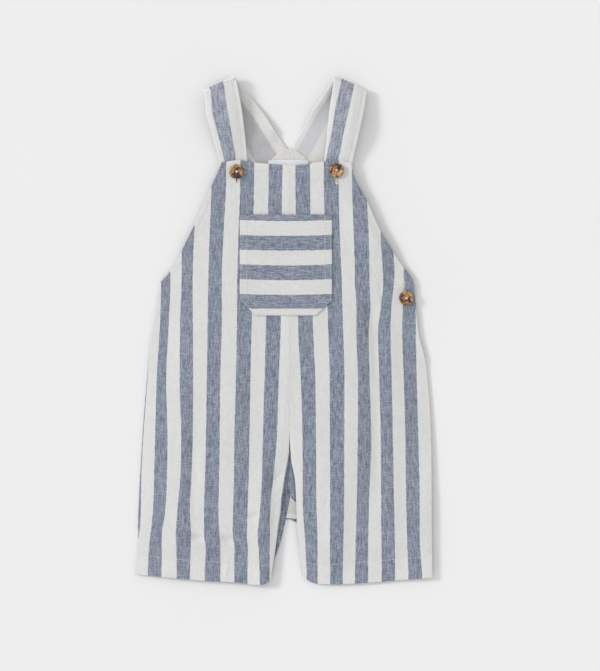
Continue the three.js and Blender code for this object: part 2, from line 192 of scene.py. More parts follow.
# A wall of cloth under a grid of points on its outer face. The inner face is the outer one moved in along
# its normals by the wall, and a half round joins them along the rim. A bulge under 1 flattens the round.
def clothShell(name, outer, grain, wall, materials, slotName, nodes=(), ply=None, bulge=None):
    rows, columns = outer.shape[:2]
    down, over = np.empty_like(outer), np.empty_like(outer)
    down[1:-1], down[0], down[-1] = outer[2:] - outer[:-2], outer[1] - outer[0], outer[-1] - outer[-2]
    over[:, 1:-1] = outer[:, 2:] - outer[:, :-2]
    over[:, 0], over[:, -1] = outer[:, 1] - outer[:, 0], outer[:, -1] - outer[:, -2]
    normal = unit(np.cross(down, over))
    away = np.zeros_like(outer)
    away[0] -= unit(down[0])
    away[-1] += unit(down[-1])
    away[:, 0] -= unit(over[:, 0])
    away[:, -1] += unit(over[:, -1])
    away = unit(away - normal * np.sum(away * normal, -1, keepdims=True))
    if bulge is not None:
        away = away * bulge[..., None]
    index = np.arange(rows * columns).reshape(rows, columns)
    rim = np.concatenate([index[0, :-1], index[:-1, -1], index[-1, :0:-1], index[:0:-1, 0]])
    flat = lambda grid: grid.reshape(-1, grid.shape[-1])
    outerPoints, normals, outwards = flat(outer), flat(normal), flat(away)
    turns = [math.pi * k / 4 for k in (1, 2, 3)]
    middle = outerPoints[rim] - normals[rim] * wall / 2
    rings = [middle + (normals[rim] * math.cos(a) + outwards[rim] * math.sin(a)) * wall / 2 for a in turns]
    points = np.concatenate([outerPoints, outerPoints - normals * wall, *rings])
    count, around = rows * columns, len(rim)
    ringIndex = [rim, *(2 * count + k * around + np.arange(around) for k in range(len(rings))), rim + count]
    a, b, c, d = index[:-1, :-1], index[1:, :-1], index[1:, 1:], index[:-1, 1:]
    outerFaces = np.stack([a, b, c, d], -1).reshape(-1, 4)
    faces = facingOut(points, [outerFaces, outerFaces[:, ::-1] + count, ringQuads(np.stack(ringIndex))])
    spread = lambda values: np.concatenate([values, values, *([values[rim]] * len(rings))])
    kinds = np.zeros(sum(len(f) for f in faces), int)
    if len(materials) > 1:
        kinds[len(outerFaces) : 2 * len(outerFaces)] = 1
    # a rim that is sewn flat against its neighbour doesn't round the shading of the face
    smooth = np.ones(len(kinds), bool)
    if bulge is not None:
        sewn = np.broadcast_to(bulge, outer.shape[:2]).ravel()[rim] < 0.5
        smooth[2 * len(outerFaces) :] = ~np.tile(sewn, len(ringIndex) - 1)
    allPly = None if ply is None else spread(np.broadcast_to(ply, outer.shape[:2]).ravel())
    allGrain = spread(flat(grain))
    return placeMesh(name, points, faces, materials, slotName, allGrain, allPly, kinds, nodes, smooth)


# A piece of cloth laid flat: its place and grain are brought to one grid, and its shell becomes a sheet
def makeSheet(name, node, slotName, material, wall, place, grain, flat, restsOn, measured=True, **more):
    x, y, z, u, v = np.broadcast_arrays(*place, *grain)
    outer = np.stack([x, y, z], -1)
    piece = clothShell(name, outer, np.stack([u, v], -1), wall, [material], slotName, [node], **more)


# Materials

# sRGB hex to linear
def linear(hexColor):
    parts = [int(hexColor[i : i + 2], 16) / 255 for i in (1, 3, 5)]
    return (*[c / 12.92 if c <= 0.04045 else ((c + 0.055) / 1.055) ** 2.4 for c in parts], 1.0)


# Adds one node with its settings and links, and gives one of its outputs. A value that is a socket is
# linked and any other is set.
def addNode(tree, kind, inputs=(), stops=(), output=0, **settings):
    node = tree.nodes.new(f"ShaderNode{kind}")
    for key, value in settings.items():
        setattr(node, key, value)
    for key, value in dict(inputs).items():
        if isinstance(value, bpy.types.NodeSocket):
            tree.links.new(value, node.inputs[key])
        else:
            node.inputs[key].default_value = value
    if stops:
        ramp = node.color_ramp
        while len(ramp.elements) < len(stops):
            ramp.elements.new(0.5)
        for element, (place, shade) in zip(ramp.elements, stops):
            element.position, element.color = place, shade
    return node.outputs[output] if node.outputs else None


def addNoise(tree, place, scale, detail=1.0, distortion=0.0):
    inputs = {"Vector": place, "Scale": scale, "Detail": detail, "Distortion": distortion}
    return addNode(tree, "TexNoise", inputs)


def addRemap(tree, value, low, high, newLow=0.0, newHigh=1.0, kind="LINEAR"):
    inputs = {0: value, 1: low, 2: high, 3: newLow, 4: newHigh}
    return addNode(tree, "MapRange", inputs, interpolation_type=kind)


def newMaterial(name):
    material = bpy.data.materials.new(name)
    material.use_nodes = True
    material.node_tree.nodes.clear()
    return material, material.node_tree


# Closes a material with its one surface
def withSurface(material, inputs):
    surface = addNode(material.node_tree, "BsdfPrincipled", inputs)
    addNode(material.node_tree, "OutputMaterial", {0: surface})
    return material


linen = {
    "stripe": 15.0,  # mm, the width of each stripe
    "yarn": 0.8,  # mm: the real yarn is 0.5 mm, drawn coarser so that it shows at the photo's size
    "slubLength": 8.0,
    "white": "#d6d6d5",
    "whiteDeep": "#cbcbca",
    "blueLight": "#9ca2af",
    "blueDark": "#5f6778",
    "violetTint": (1.03, 0.99, 1.015, 1),
    "tealTint": (0.965, 1.005, 0.985, 1),
    "tinted": 1.0,
    "doubled": (1.035, 1.03, 1.02, 1),  # cloth that lies double shows less of the dark below it
    "soft": 0.35,  # mm, half the width over which a stripe's edge fades
    "yarnDepths": (1.9, 1.0, 0.8),  # how far warp, weft and their crossings change the tone
    "slubDepth": 0.35,
    "paleDepth": 0.5,
    "waver": 0.9,
    "fade": 0.015,
    "crinkle": 0.16,
    "threadRelief": 0.22,
    "roughness": 0.9,
    "sheen": 0.08,
}


# Plain-woven linen and cotton, yarn dyed: uneven yarns run both ways, so the blue looks chalky and streaked.
# The map's first coordinate runs across the stripes and its second along them, both in mm.
def linenMaterial(name, changes, striped=True, streak=1.0, relief=1.0):
    colors = {**linen, **changes}
    material, tree = newMaterial(name)
    grain = addNode(tree, "UVMap", uv_map="grain")
    u, v = (addNode(tree, "SeparateXYZ", {0: grain}, output=k) for k in (0, 1))
    yarn, slub, stripe = linen["yarn"], linen["slubLength"], linen["stripe"]

    def work(operation, first, second, third=0.0, clamp=False):
        return addNode(tree, "Math", {0: first, 1: second, 2: third}, operation=operation, use_clamp=clamp)

    def blend(factor, first, second, kind="MIX"):
        inputs = {0: factor, 6: first, 7: second}
        return addNode(tree, "Mix", inputs, output=2, data_type="RGBA", blend_type=kind)

    def streaks(sizeU, sizeV, seed, detail):
        place = {0: work("MULTIPLY", u, 1 / sizeU), 1: work("MULTIPLY", v, 1 / sizeV), 2: seed}
        return addNoise(tree, addNode(tree, "CombineXYZ", place), 1.0, detail)

    warp = streaks(yarn, slub, 1.3, 1.0)
    weft = streaks(slub * 0.5, yarn, 4.7, 1.0)
    cross = streaks(yarn * 1.1, yarn * 1.3, 8.1, 0.0)
    slubs = streaks(yarn * 1.2, slub * 1.6, 12.9, 0.0)
    wefts = streaks(slub * 1.3, yarn, 15.4, 0.0)
    wash = streaks(28, 60, 17.0, 1.0)
    woven = 0.5
    for yarns, depth in zip((warp, weft, cross), linen["yarnDepths"]):
        woven = work("ADD", woven, work("MULTIPLY_ADD", yarns, depth * streak, -depth / 2 * streak))
    thick = addRemap(tree, slubs, 0.66, 0.78, 0.0, linen["slubDepth"] * streak, "SMOOTHSTEP")
    pale = addRemap(tree, wefts, 0.7, 0.8, 0.0, linen["paleDepth"] * streak, "SMOOTHSTEP")
    depth = work("ADD", work("SUBTRACT", woven, thick), pale, clamp=True)
    white = blend(depth, linear(colors["whiteDeep"]), linear(colors["white"]))
    ply = addNode(tree, "Attribute", output="Fac", attribute_name="ply", attribute_type="GEOMETRY")
    shade = blend(ply, white, blend(1.0, white, colors["doubled"], "MULTIPLY"))
    if striped:
        blue = blend(depth, linear(colors["blueDark"]), linear(colors["blueLight"]))
        tint = blend(addRemap(tree, wash, 0.36, 0.64), linen["tealTint"], linen["violetTint"])
        tinted = blend(colors["tinted"], blue, tint, "MULTIPLY")
        waver = work("MULTIPLY_ADD", streaks(30, 5, 21.0, 1.0), linen["waver"], -linen["waver"] / 2)
        folded = work("PINGPONG", work("ADD", u, waver), stripe)
        edges = stripe / 2 - colors["soft"], stripe / 2 + colors["soft"]
        shade = blend(addRemap(tree, folded, *edges, kind="SMOOTHSTEP"), shade, tinted)
    fade = linen["fade"]
    faded = {"Color": shade, "Value": addRemap(tree, wash, 0.3, 0.7, 1 - fade, 1 + fade)}
    crinkle = {"Height": streaks(9, 14, 31.0, 3.0), "Distance": 0.9 * mm}
    crinkle["Strength"] = linen["crinkle"] * relief
    threads = {"Height": work("ADD", warp, weft), "Distance": 0.2 * mm}
    threads["Strength"] = linen["threadRelief"] * relief
    cloth = {
        "Base Color": addNode(tree, "HueSaturation", faded),
        "Normal": addNode(tree, "Bump", {**threads, "Normal": addNode(tree, "Bump", crinkle)}),
        "Roughness": linen["roughness"],
        "Sheen Weight": linen["sheen"],
        "Sheen Roughness": 0.5,
        "Specular IOR Level": 0.2,
    }
    return withSurface(material, cloth)


# Cotton sewing thread, twisted: matt, slightly brighter than the cloth, with a fine twist in its relief
def threadMaterial(name, dark, light):
    material, tree = newMaterial(name)
    noise = addNoise(tree, addNode(tree, "TexCoord", output="Object"), 900.0)
    tint = addNode(tree, "ValToRGB", {0: noise}, [(0.3, linear(dark)), (0.7, linear(light))])
    bump = addNode(tree, "Bump", {"Height": noise, "Strength": 0.3, "Distance": 0.1 * mm})
    return withSurface(material, {"Base Color": tint, "Normal": bump, "Roughness": 0.8, "Sheen Weight": 0.1})


resin = {"amber": "#b8925f", "honey": "#8a5c33", "brown": "#341811", "patch": 7.0}  # patch in mm


# Cast polyester resin, turned and tumbled: amber with dark brown clouds and a soft gloss
def resinMaterial(name):
    material, tree = newMaterial(name)
    place = addNode(tree, "TexCoord", output="Object")
    size = 1 / (resin["patch"] * mm)
    clouds, flecks = addNoise(tree, place, size, 2.0, 0.8), addNoise(tree, place, 4 * size, 2.0)
    bands = (0.39, "brown"), (0.475, "honey"), (0.575, "amber")
    tint = addNode(tree, "ValToRGB", {0: clouds}, [(at, linear(resin[color])) for at, color in bands])
    tone = addRemap(tree, flecks, 0.3, 0.7, 0.78, 1.12)
    cast = {
        "Base Color": addNode(tree, "HueSaturation", {"Color": tint, "Value": tone}),
        "Roughness": addRemap(tree, flecks, 0.2, 0.8, 0.28, 0.42),
        "IOR": 1.5,
        "Coat Weight": 0.15,
        "Coat Roughness": 0.2,
    }
    return withSurface(material, cast)


# Matt white paper, rolled: a barely uneven tone
def floorMaterial():
    material, tree = newMaterial("whitePaper")
    noise = addNoise(tree, addNode(tree, "TexCoord", output="Object"), 3.0)
    low, high = (studio["paper"] + sign * studio["paperUneven"] for sign in (-1, 1))
    tint = addNode(tree, "ValToRGB", {0: noise}, [(0.3, (low, low, low, 1)), (0.7, (high, high, high, 1))])
    return withSurface(material, {"Base Color": tint, "Roughness": 1.0, "Specular IOR Level": 0.0})


stripedLinen = linenMaterial("stripedLinen", {})
# the straps lie double all over, so their blue is paler
strapColors = {"blueLight": "#b0b3bf", "blueDark": "#747688", "doubled": (1.09, 1.085, 1.075, 1)}
strapLinen = linenMaterial("strapLinen", strapColors)
# the lining shows the blue of the outer cloth softly through; on the left strap that blue is darker, painted
# shade of the front run standing over it
liningColors = {"white": "#d7d6d4", "whiteDeep": "#cecdcb", "tinted": 0.3, "soft": 1.2}
shownThroughAndShade = {"left": ("#b6b6b8", "#acacaf"), "right": ("#c7c8cb", "#bebfc3")}
liningLinen = {}
for side, (light, dark) in shownThroughAndShade.items():
    changes = {**liningColors, "blueLight": light, "blueDark": dark}
    liningLinen[side] = linenMaterial(f"liningLinen_{side}", changes, streak=0.8)
creamColors = {"white": "#d9d7d3", "whiteDeep": "#c6c4c0"}
creamLinen = linenMaterial("creamLinen", creamColors, striped=False, relief=1.6)
# the gusset's plain cloth is made darker grey all over: painted shade of the fork between the legs
shadedGussetColors = {"white": "#c9c7c3", "whiteDeep": "#bab8b5", "doubled": (1.12, 1.12, 1.12, 1)}
shadedGussetLinen = linenMaterial("shadedGussetLinen", shadedGussetColors, striped=False)
tapeColors = {"white": "#e0dfe5", "whiteDeep": "#d8d7dd"}
labelTape = linenMaterial("labelTape", tapeColors, striped=False, streak=0.5, relief=0.4)
whiteThread = threadMaterial("whiteCottonThread", "#c4c4c4", "#dedddc")
# dark bars for the buttonhole slits: painted shade in the gap
slitShade = threadMaterial("shadedSlit", "#3b3b3d", "#55565a")
mottledResin = resinMaterial("mottledResin")
print("materials made")


# The front's shape

frontLevels = table(
    "leftOuter rightOuter leftInner rightInner crown leftLift rightLift seamLift",
    [
        (442, 69.5, 63.2, 0, 0, 4.2, 3.9, 3.9, 3.9),  # bib top
        (424, 77.2, 67.6, 0, 0, 4.4, 3.8, 3.8, 4.2),
        (400, 87.9, 80.4, 0, 0, 4.8, 3.5, 3.6, 4.6),
        (375, 98.8, 91.4, 0, 0, 5.3, 3.0, 3.2, 5.1),  # armholes
        (350, 111.0, 105.8, 0, 0, 5.8, 2.3, 2.8, 5.6),
        (333, 119.1, 116.6, 0, 0, 6.1, 1.7, 2.5, 5.9),
        (323, 126.9, 124.8, 0, 0, 6.3, 1.0, 2.2, 6.1),
        (314, 134.3, 129.2, 0, 0, 6.4, 0.2, 1.8, 6.2),  # underarm corners
        (291, 138.4, 131.2, 0, 0, 6.7, 0, 1.5, 6.4),
        (261, 143.4, 134.6, 0, 0, 6.8, 0, 1.5, 6.5),  # side placket
        (238, 146.1, 140.2, 0, 0, 6.8, 0, 1.4, 6.4),
        (222, 147.2, 143.0, 0, 0, 6.7, 0, 0, 6.2),
        (158, 152.0, 147.4, 0, 0, 6.4, 0, 0, 4.4),  # crotch
        (131, 153.6, 147.8, 0.5, 1.5, 6.2, 0, 0, 3.4),
        (107, 154.8, 148.0, 4.4, 5.6, 6.0, 0, 0, 2.8),
        (83, 155.9, 148.1, 7.3, 6.9, 5.8, 0, 0, 2.2),
        (62, 156.9, 148.2, 11.0, 7.5, 5.5, 0, 0, 1.7),
        (42, 158.4, 148.4, 13.5, 9.7, 5.2, 0, 0, 1.3),
        (22, 160.2, 148.5, 16.3, 12.1, 4.9, 0, 0, 1.0),
        (10, 161.7, 148.5, 18.2, 14.4, 4.7, 0, 0, 0.8),  # hems
    ],
)
# by the share of the way across from the centre seam
frontEnds = table(
    "leftTop rightTop leftHem rightHem",
    [
        (0, 436.0, 436.0, 4.9, 7.4),
        (0.06, 436.3, 436.1, 0.6, 2.4),
        (0.12, 436.6, 436.2, 0, 0.6),
        (0.25, 437.2, 436.8, 2.4, 0.3),
        (0.5, 438.8, 439.4, 4.4, 2.0),
        (0.75, 441.4, 441.4, 7.4, 4.7),
        (1, 439.3, 438.8, 10.9, 7.3),
    ],
)

# x, y, length, half width, lean from upright in degrees, height
largeFolds = [
    (88, 262, 130, 7, -5, -2.2),  # narrowed stripe below the side button
    (91, 150, 170, 8, 0, -1.6),
    (104, 240, 110, 9, 3, 1.2),
    (50, 60, 150, 12, 2, 1.6),
    (121, 90, 150, 9, -1, -1.0),
    (32, 110, 130, 10, 4, 0.8),
    (-100, 120, 210, 8, 2, -1.6),  # long trough down the left leg
    (-112, 60, 90, 9, 12, 1.3),
    (-80, 47, 110, 9, 88, 1.4),  # ripple across the left leg above the hem
    (-84, 34, 110, 7, 86, -0.8),
    (-18, 104, 60, 6, 35, -1.2),  # drag line from the crotch
    (-27, 112, 60, 7, 33, 0.8),
    (-126, 250, 110, 9, 3, -1.2),
    (-60, 180, 160, 12, 1, 0.7),
    (22, 405, 26, 6, 55, -0.5),  # pull beside the bib button
    (120, 322, 40, 5, 70, -0.9),
]
smallCreases = [
    (-95, 49, 26, 3.6, 96, -3.2),  # dark nips in the ripple
    (-64, 47, 28, 4.0, 102, -3.4),
    (-38, 71, 24, 3.4, 75, -1.7),
    (-12, 112, 26, 2.2, 42, -0.5),  # beside the crotch
    (-8, 100, 24, 2.2, 30, -0.45),
    (-24, 92, 30, 2.6, 30, -0.4),
    (63, 39, 22, 3.0, 84, -0.5),
    (80, 57, 34, 4.0, -60, 0.4),
    (101, 98, 28, 3.4, -50, -0.4),
    (-66, 14, 24, 2.2, 6, 0.8),  # puckers along the hems
    (-38, 10, 14, 2.4, -12, -0.35),
    (48, 12, 14, 2.4, 10, -0.35),
    (112, 14, 16, 2.6, -8, -0.3),
    (20, 411, 18, 2.0, 62, -0.3),
    (27, 418, 16, 2.0, 70, -0.28),
    (36, 408, 20, 2.2, 40, -0.25),
    (-68, 408, 26, 2.8, -35, -0.35),
    (-95, 360, 30, 3.2, -28, -0.35),
    (112, 330, 30, 2.8, 48, -0.5),
    (118, 306, 24, 2.4, 78, -0.4),
    (96, 300, 44, 2.6, -8, -0.6),
    (93, 262, 60, 2.6, 3, -0.5),
    (84, 228, 70, 2.8, -2, 0.4),
    (-118, 150, 90, 3.5, 4, -0.35),
    (-84, 182, 100, 4.0, -3, 0.3),
    (52, 176, 120, 4.0, 1, -0.3),
    (132, 205, 40, 3.0, 12, -0.4),
    (-134, 84, 60, 3.0, 8, 0.35),
]


# Sum of long dimples or ridges: a squared cosine along each one and a bell across it
def foldHeight(x, y, foldList):
    total = np.zeros(np.broadcast(x, y).shape)
    for foldX, foldY, length, width, lean, height in foldList:
        a = math.radians(lean)
        dx, dy = x - foldX, y - foldY
        along = (dx * math.sin(a) + dy * math.cos(a)) / (length / 2)
        across = dx * math.cos(a) - dy * math.sin(a)
        share = np.where(np.abs(along) < 1, np.cos(along * math.pi / 2) ** 2, 0)
        total += height * share * bell(across, width)
    return total


clothForm = {
    "wall": 1.0,
    "sideSeamTop": 2.7,
    "sideRound": 56,
    "seamRound": 32,
    "chestRound": 92,
    "hemDepth": 20,
    "hemGain": 2.2,
    "bibTurn": 7,
    "armTurn": 5,
    "turnStep": 0.2,
    "armStep": 0.1,
    "seamAllowance": 8,
    "allowanceStep": 0.5,
    "hemDroop": 0.35,
    "rightDroop": 0.72,
    "slopeStart": 13,
    "slopeEnd": 29,
    "legSeamLift": 0.6,
    "inseamRoll": 1.2,
    "insideLift": 1.6,
    "edgeLift": 2.9,
    "bibLift": 2.2,
    "armLift": 3.4,
    "sideStep": 2.8,
}


def sideOf(x, level, name):
    return np.where(x < 0, level[f"left{name}"], level[f"right{name}"])


# Both cloths stand off the surface a little along the right leg's outer edge and the left leg's inner one
def legLift(x, y):
    outer = clothForm["edgeLift"] * ease(x, 112, 150) * (1 - ease(y, 60, 205))
    inner = ease(x, -50, -20) * (1 - ease(x, -13, -5)) * (1 - ease(y, 55, 115))
    return outer + clothForm["insideLift"] * inner


# The armhole edge on the right stands up and rolls over at its end, and so does the bib's right corner
def armLift(x, y, fromEdge):
    near = 1 - ease(fromEdge, 12, 48) - 0.35 * (1 - ease(fromEdge, 0, 12))
    arm = clothForm["armLift"] * near * (x > 0) * ease(y, 332, 356) * (1 - ease(y, 370, 425))
    return arm + clothForm["bibLift"] * ease(x, -12, 44) * ease(y, 385, 425)


# How far each place lies inside the front's hem, bib top and armhole
def insideFront(x, y):
    level = frontLevels(y)
    outer, inner = sideOf(x, level, "Outer"), sideOf(x, level, "Inner")
    fromEdge = np.maximum(outer - np.abs(x), 0)
    across = np.clip((np.abs(x) - inner) / np.maximum(outer - inner, 1), 0, 1)
    ends = frontEnds(across)
    return y - sideOf(x, ends, "Hem"), sideOf(x, ends, "Top") - y, fromEdge + 60 * (1 - ease(y, 312, 320))


# The hem's depth, a little more towards the right leg's outer side
def hemDepth(x):
    return clothForm["hemDepth"] + clothForm["hemGain"] * ease(x, 5, 85)


# A turned edge: a low step down to the cloth, and the groove of its stitching, at a distance from the edge
def turnedStep(distance, turn, step, groove):
    return step * (1 - ease(distance, turn - 0.6, turn + 1.0)) - groove * bell(distance - turn, 0.9)


# Height of the front's outer face: a pillow that drops to its seams, then folds, turned edges and crinkle
def frontTop(x, y, fine=True):
    form = clothForm
    x, y = np.broadcast_arrays(np.asarray(x, float), np.asarray(y, float))
    level = frontLevels(y)
    outer, inner, lift = (sideOf(x, level, n) for n in ("Outer", "Inner", "Lift"))
    fromEdge = np.maximum(outer - np.abs(x), 0)
    fromSeam = np.maximum(np.abs(x) - inner, 0)
    crown, seamLift = level["crown"], level["seamLift"]
    onChest = (x < 0) * ease(y, 200, 260)
    sideRound = form["sideRound"] + (form["chestRound"] - form["sideRound"]) * onChest
    overEdge = lift + (crown - lift) * rise(fromEdge / sideRound)
    onLeg = (x < 0) * (1 - ease(y, 100, 150))
    seamLift = seamLift * (1 - (1 - form["legSeamLift"]) * onLeg)
    # the left leg's inner side falls steeply at the stripe before its edge and rolls over its seam
    roll = form["inseamRoll"] * onLeg * rise(fromSeam / 1.6) * (1 - ease(fromSeam, 8, 30))
    steep = ease(-x, form["slopeStart"], form["slopeEnd"])
    climb = rise(fromSeam / form["seamRound"]) * (1 - onLeg) + steep * onLeg
    overSeam = seamLift + (crown - seamLift) * climb
    faded = rise(fromEdge / 26) * rise((fromSeam + seamLift * 4) / 16)
    fromHem, fromTop, fromArm = insideFront(x, y)
    low = 1 - form["hemDroop"] * (1 - ease(fromHem, 4, 75)) * (x < 0)
    low = low - form["rightDroop"] * (1 - ease(fromHem, 3, 46)) * (x >= 0)
    stepped = form["sideStep"] * ease(x, 56, 104) * ease(y, 70, 120) * (1 - ease(y, 290, 350))
    folds = foldHeight(x, y, largeFolds) - stepped
    z = form["sideSeamTop"] + low * (overEdge * overSeam / crown + folds * faded)
    z = z + roll + legLift(x, y) + armLift(x, y, fromEdge)
    if not fine:
        return z
    z = z + foldHeight(x, y, smallCreases) * np.clip(faded + 0.2, 0, 1)
    z = z + 0.12 * faded * lumps(x, y, 18, 40, 3) + 0.05 * lumps(x, y, 7, 12, 5)
    z = z + 0.025 * lumps(x, y, 3.2, 4.6, 9)
    z = z + turnedStep(fromHem, hemDepth(x), form["turnStep"], 0.16)
    z = z + turnedStep(fromTop, form["bibTurn"], form["turnStep"], 0.14)
    z = z + turnedStep(fromArm, form["armTurn"], form["armStep"], 0.08)
    # the seam allowance is pressed to the left, so that half stands higher and the other slopes down from it
    closed = ease(y, 150, 172)
    allowance = form["seamAllowance"]
    raised = np.where(x < 0, 1 - ease(-x, allowance - 2, allowance + 2.5), 1 - ease(x, -1.5, 6.5))
    return z + closed * (form["allowanceStep"] * raised - 0.02 * bell(x, 0.7))


# Where the front lies double: hems, turned edges, and the seam allowance on the left of the seam
def frontPly(x, y):
    fromHem, fromTop, fromArm = insideFront(x, y)
    within = lambda distance, edge, before, after: 1 - ease(distance, edge - before, edge + after)
    turned = within(fromHem, hemDepth(x), 0.4, 0.6)
    turned = np.maximum(turned, within(fromTop, clothForm["bibTurn"], 0.4, 0.6))
    turned = np.maximum(turned, 0.3 * within(fromArm, clothForm["armTurn"], 1, 1))
    seam = (x < 0) * within(-x, clothForm["seamAllowance"], 2, 1) * ease(y, 150, 172)
    return np.maximum(turned, 0.8 * seam)


# Where each stripe's edges lie, in mm from the centre seam. The first edge is 7.5 mm of cloth from it and
# each next one 15 mm further, so the rows say how the grain leans away from the inseams and into the folds.
leftStripes = [
    (440, 7.0, 21.5, 36.6, 51.0, 65.6, 81.0, 96.0, 110.5, 125.0, 139.0),
    (412, 7.6, 21.8, 36.9, 51.3, 66.0, 81.1, 96.2, 110.8, 125.2, 139.2),
    (375, 8.0, 22.6, 37.6, 52.6, 68.0, 82.6, 98.6, 112.0, 125.5, 138.6),
    (313, 8.4, 23.6, 38.6, 54.3, 70.3, 84.4, 100.7, 112.2, 123.9, 133.6),
    (275, 9.0, 24.3, 39.2, 54.5, 70.2, 84.9, 100.4, 113.7, 125.5, 134.6),
    (213, 11.2, 25.9, 40.5, 55.6, 71.9, 85.8, 100.0, 114.0, 128.2, 138.1),
    (150, 13.4, 27.7, 41.6, 57.2, 72.5, 86.7, 100.6, 112.3, 126.7, 139.8),
    (113, 16.8, 28.5, 42.3, 57.6, 73.0, 87.6, 101.9, 113.2, 127.3, 140.7),
    (76, 20.0, 30.7, 43.5, 58.6, 73.8, 88.8, 103.4, 116.5, 129.2, 142.0),
    (51, 20.4, 33.1, 44.2, 58.9, 72.6, 88.6, 102.2, 118.1, 132.8, 144.8),
    (38, 20.7, 32.1, 43.2, 57.1, 71.7, 87.0, 102.6, 117.4, 132.7, 146.2),
    (13, 20.5, 30.9, 43.7, 57.4, 71.9, 88.1, 103.4, 117.1, 133.1, 147.3),
]
rightStripes = [
    (440, 6.0, 21.2, 35.5, 51.0, 64.5, 79.5, 94.0, 108.0, 121.0, 134.0),
    (412, 6.2, 21.4, 35.7, 51.2, 65.0, 79.9, 94.2, 108.0, 121.0, 134.0),
    (363, 7.2, 22.2, 37.2, 52.3, 66.6, 82.3, 94.6, 107.0, 119.5, 132.5),
    (325, 8.0, 23.2, 38.6, 53.9, 67.8, 83.0, 97.0, 109.2, 118.5, 130.0),
    (313, 8.2, 23.5, 39.0, 54.4, 67.9, 83.1, 97.3, 108.5, 118.9, 129.3),
    (288, 8.6, 23.9, 39.5, 54.8, 69.6, 84.2, 94.8, 105.8, 117.6, 131.1),
    (263, 9.1, 24.5, 40.2, 55.8, 69.4, 82.3, 91.8, 105.1, 117.2, 131.3),
    (213, 11.8, 26.8, 41.8, 57.0, 71.1, 83.4, 93.2, 106.2, 118.9, 132.4),
    (150, 13.5, 27.5, 41.9, 56.9, 70.8, 85.1, 94.7, 107.5, 120.5, 134.1),
    (88, 13.7, 27.9, 42.1, 56.7, 69.9, 82.6, 95.1, 108.6, 121.2, 135.3),
    (51, 15.9, 29.0, 41.9, 56.1, 68.8, 81.8, 95.4, 109.4, 122.1, 135.3),
    (13, 17.9, 29.2, 42.3, 55.3, 68.0, 81.7, 95.9, 109.7, 123.7, 137.7),
]


# The cloth's own coordinate across the stripes: between two edges it runs evenly, at every height
def grainAcross(x, y, stripeRows):
    names = [f"edge{k}" for k in range(10)]
    edges = table(" ".join(names), stripeRows)(y)
    known = np.stack([edges[name] for name in names], -1)
    before, after = 2 * known[..., :1] - known[..., 1:2], 2 * known[..., -1:] - known[..., -2:-1]
    known = np.concatenate([before, known, after], -1)
    i = np.clip((known <= np.abs(x)[..., None]).sum(-1) - 1, 0, known.shape[-1] - 2)
    low = np.take_along_axis(known, i[..., None], -1)[..., 0]
    high = np.take_along_axis(known, i[..., None] + 1, -1)[..., 0]
    return linen["stripe"] * (i - 0.5 + (np.abs(x) - low) / (high - low))


frontGrid = {"rows": 290, "columns": 112, "close": (0.2, 0.8, 1.8), "edgeInset": 0.5, "seamSpare": 0.004}


# Half of the front, from bib top to hem. Its inner rim is flat where the two halves are sewn together.
def makeFront(side):
    sign = -1 if side == "left" else 1
    down = steps(frontGrid["rows"], 436)[:, None]
    along = steps(frontGrid["columns"], 145, frontGrid["close"])
    across = (along if side == "right" else 1 - along)[None, :]
    ends = frontEnds(across)
    inset = frontGrid["edgeInset"]
    top, hem = ends[f"{side}Top"] - inset, ends[f"{side}Hem"] + inset
    y = top + (hem - top) * down
    innerEnd, outerEnd = frontEnds(np.array([[0.0]])), frontEnds(np.array([[1.0]]))
    yAt = lambda e: e[f"{side}Top"] + (e[f"{side}Hem"] - e[f"{side}Top"]) * down
    bulge = 1 - ease(yAt(innerEnd), 146, 160)
    inner = frontLevels(yAt(innerEnd))[f"{side}Inner"] + inset * bulge + frontGrid["seamSpare"]
    outer = frontLevels(yAt(outerEnd))[f"{side}Outer"] - inset
    x = sign * (inner + (outer - inner) * across)
    makeSheet(
        f"frontPanel_{side}",
        f"front_{side}",
        "striped_linen",
        stripedLinen,
        clothForm["wall"],
        (x, y, frontTop(x, y)),
        (sign * grainAcross(x, y, leftStripes if side == "left" else rightStripes), y + 700 * (sign > 0)),
        (0.160, 0.442),
        [f"back_{side}"],
        ply=frontPly(x, y),
        bulge=np.where(across < 0.004, bulge, 1.0),
    )


for side in ("left", "right"):
    makeFront(side)
print("fronts made")


# The back

backLevels = table(
    "leftOuter rightOuter leftInner rightInner",
    [
        (448.4, 1.6, 1.6, 0, 0),  # peak
        (430, 25.0, 24.0, 0, 0),
        (421, 35.0, 35.0, 0, 0),  # ends of the strap seams
        (400, 44.0, 43.0, 0, 0),
        (370, 66.0, 64.0, 0, 0),
        (340, 95.0, 93.0, 0, 0),
        (314, 132.6, 128.4, 0, 0),
        (291, 138.2, 131.0, 0, 0),
        (238, 146.0, 140.0, 0, 0),
        (200, 149.6, 144.6, 0, 0),
        (150, 153.4, 147.2, 0, 0),
        (74, 157.4, 148.0, 0, 0),
        (68.4, 157.6, 148.0, 0.3, 0.1),  # crotch
        (67, 157.6, 148.0, 4.4, 0.6),
        (64.6, 157.7, 148.0, 4.6, 7.6),
        (58.4, 158.1, 148.0, 5.9, 8.8),
        (46.5, 158.7, 148.1, 8.6, 10.6),
        (36, 159.3, 148.2, 12.0, 12.0),
        (24, 160.1, 148.3, 15.9, 13.0),
        (10, 161.4, 148.3, 18.0, 14.8),  # hems
    ],
)
backForm = {"top": 448.4, "hemInset": 1.3, "face": 1.15, "rows": 300, "columns": 64}
backForm |= {"leanTop": 130, "leanEdge": 18, "leanEnd": 60, "forkRise": 1.6, "forkTop": 3.0}
backForm |= {"forkX": 0.5, "forkWidth": 9, "creaseY": 96, "creaseLength": 8}
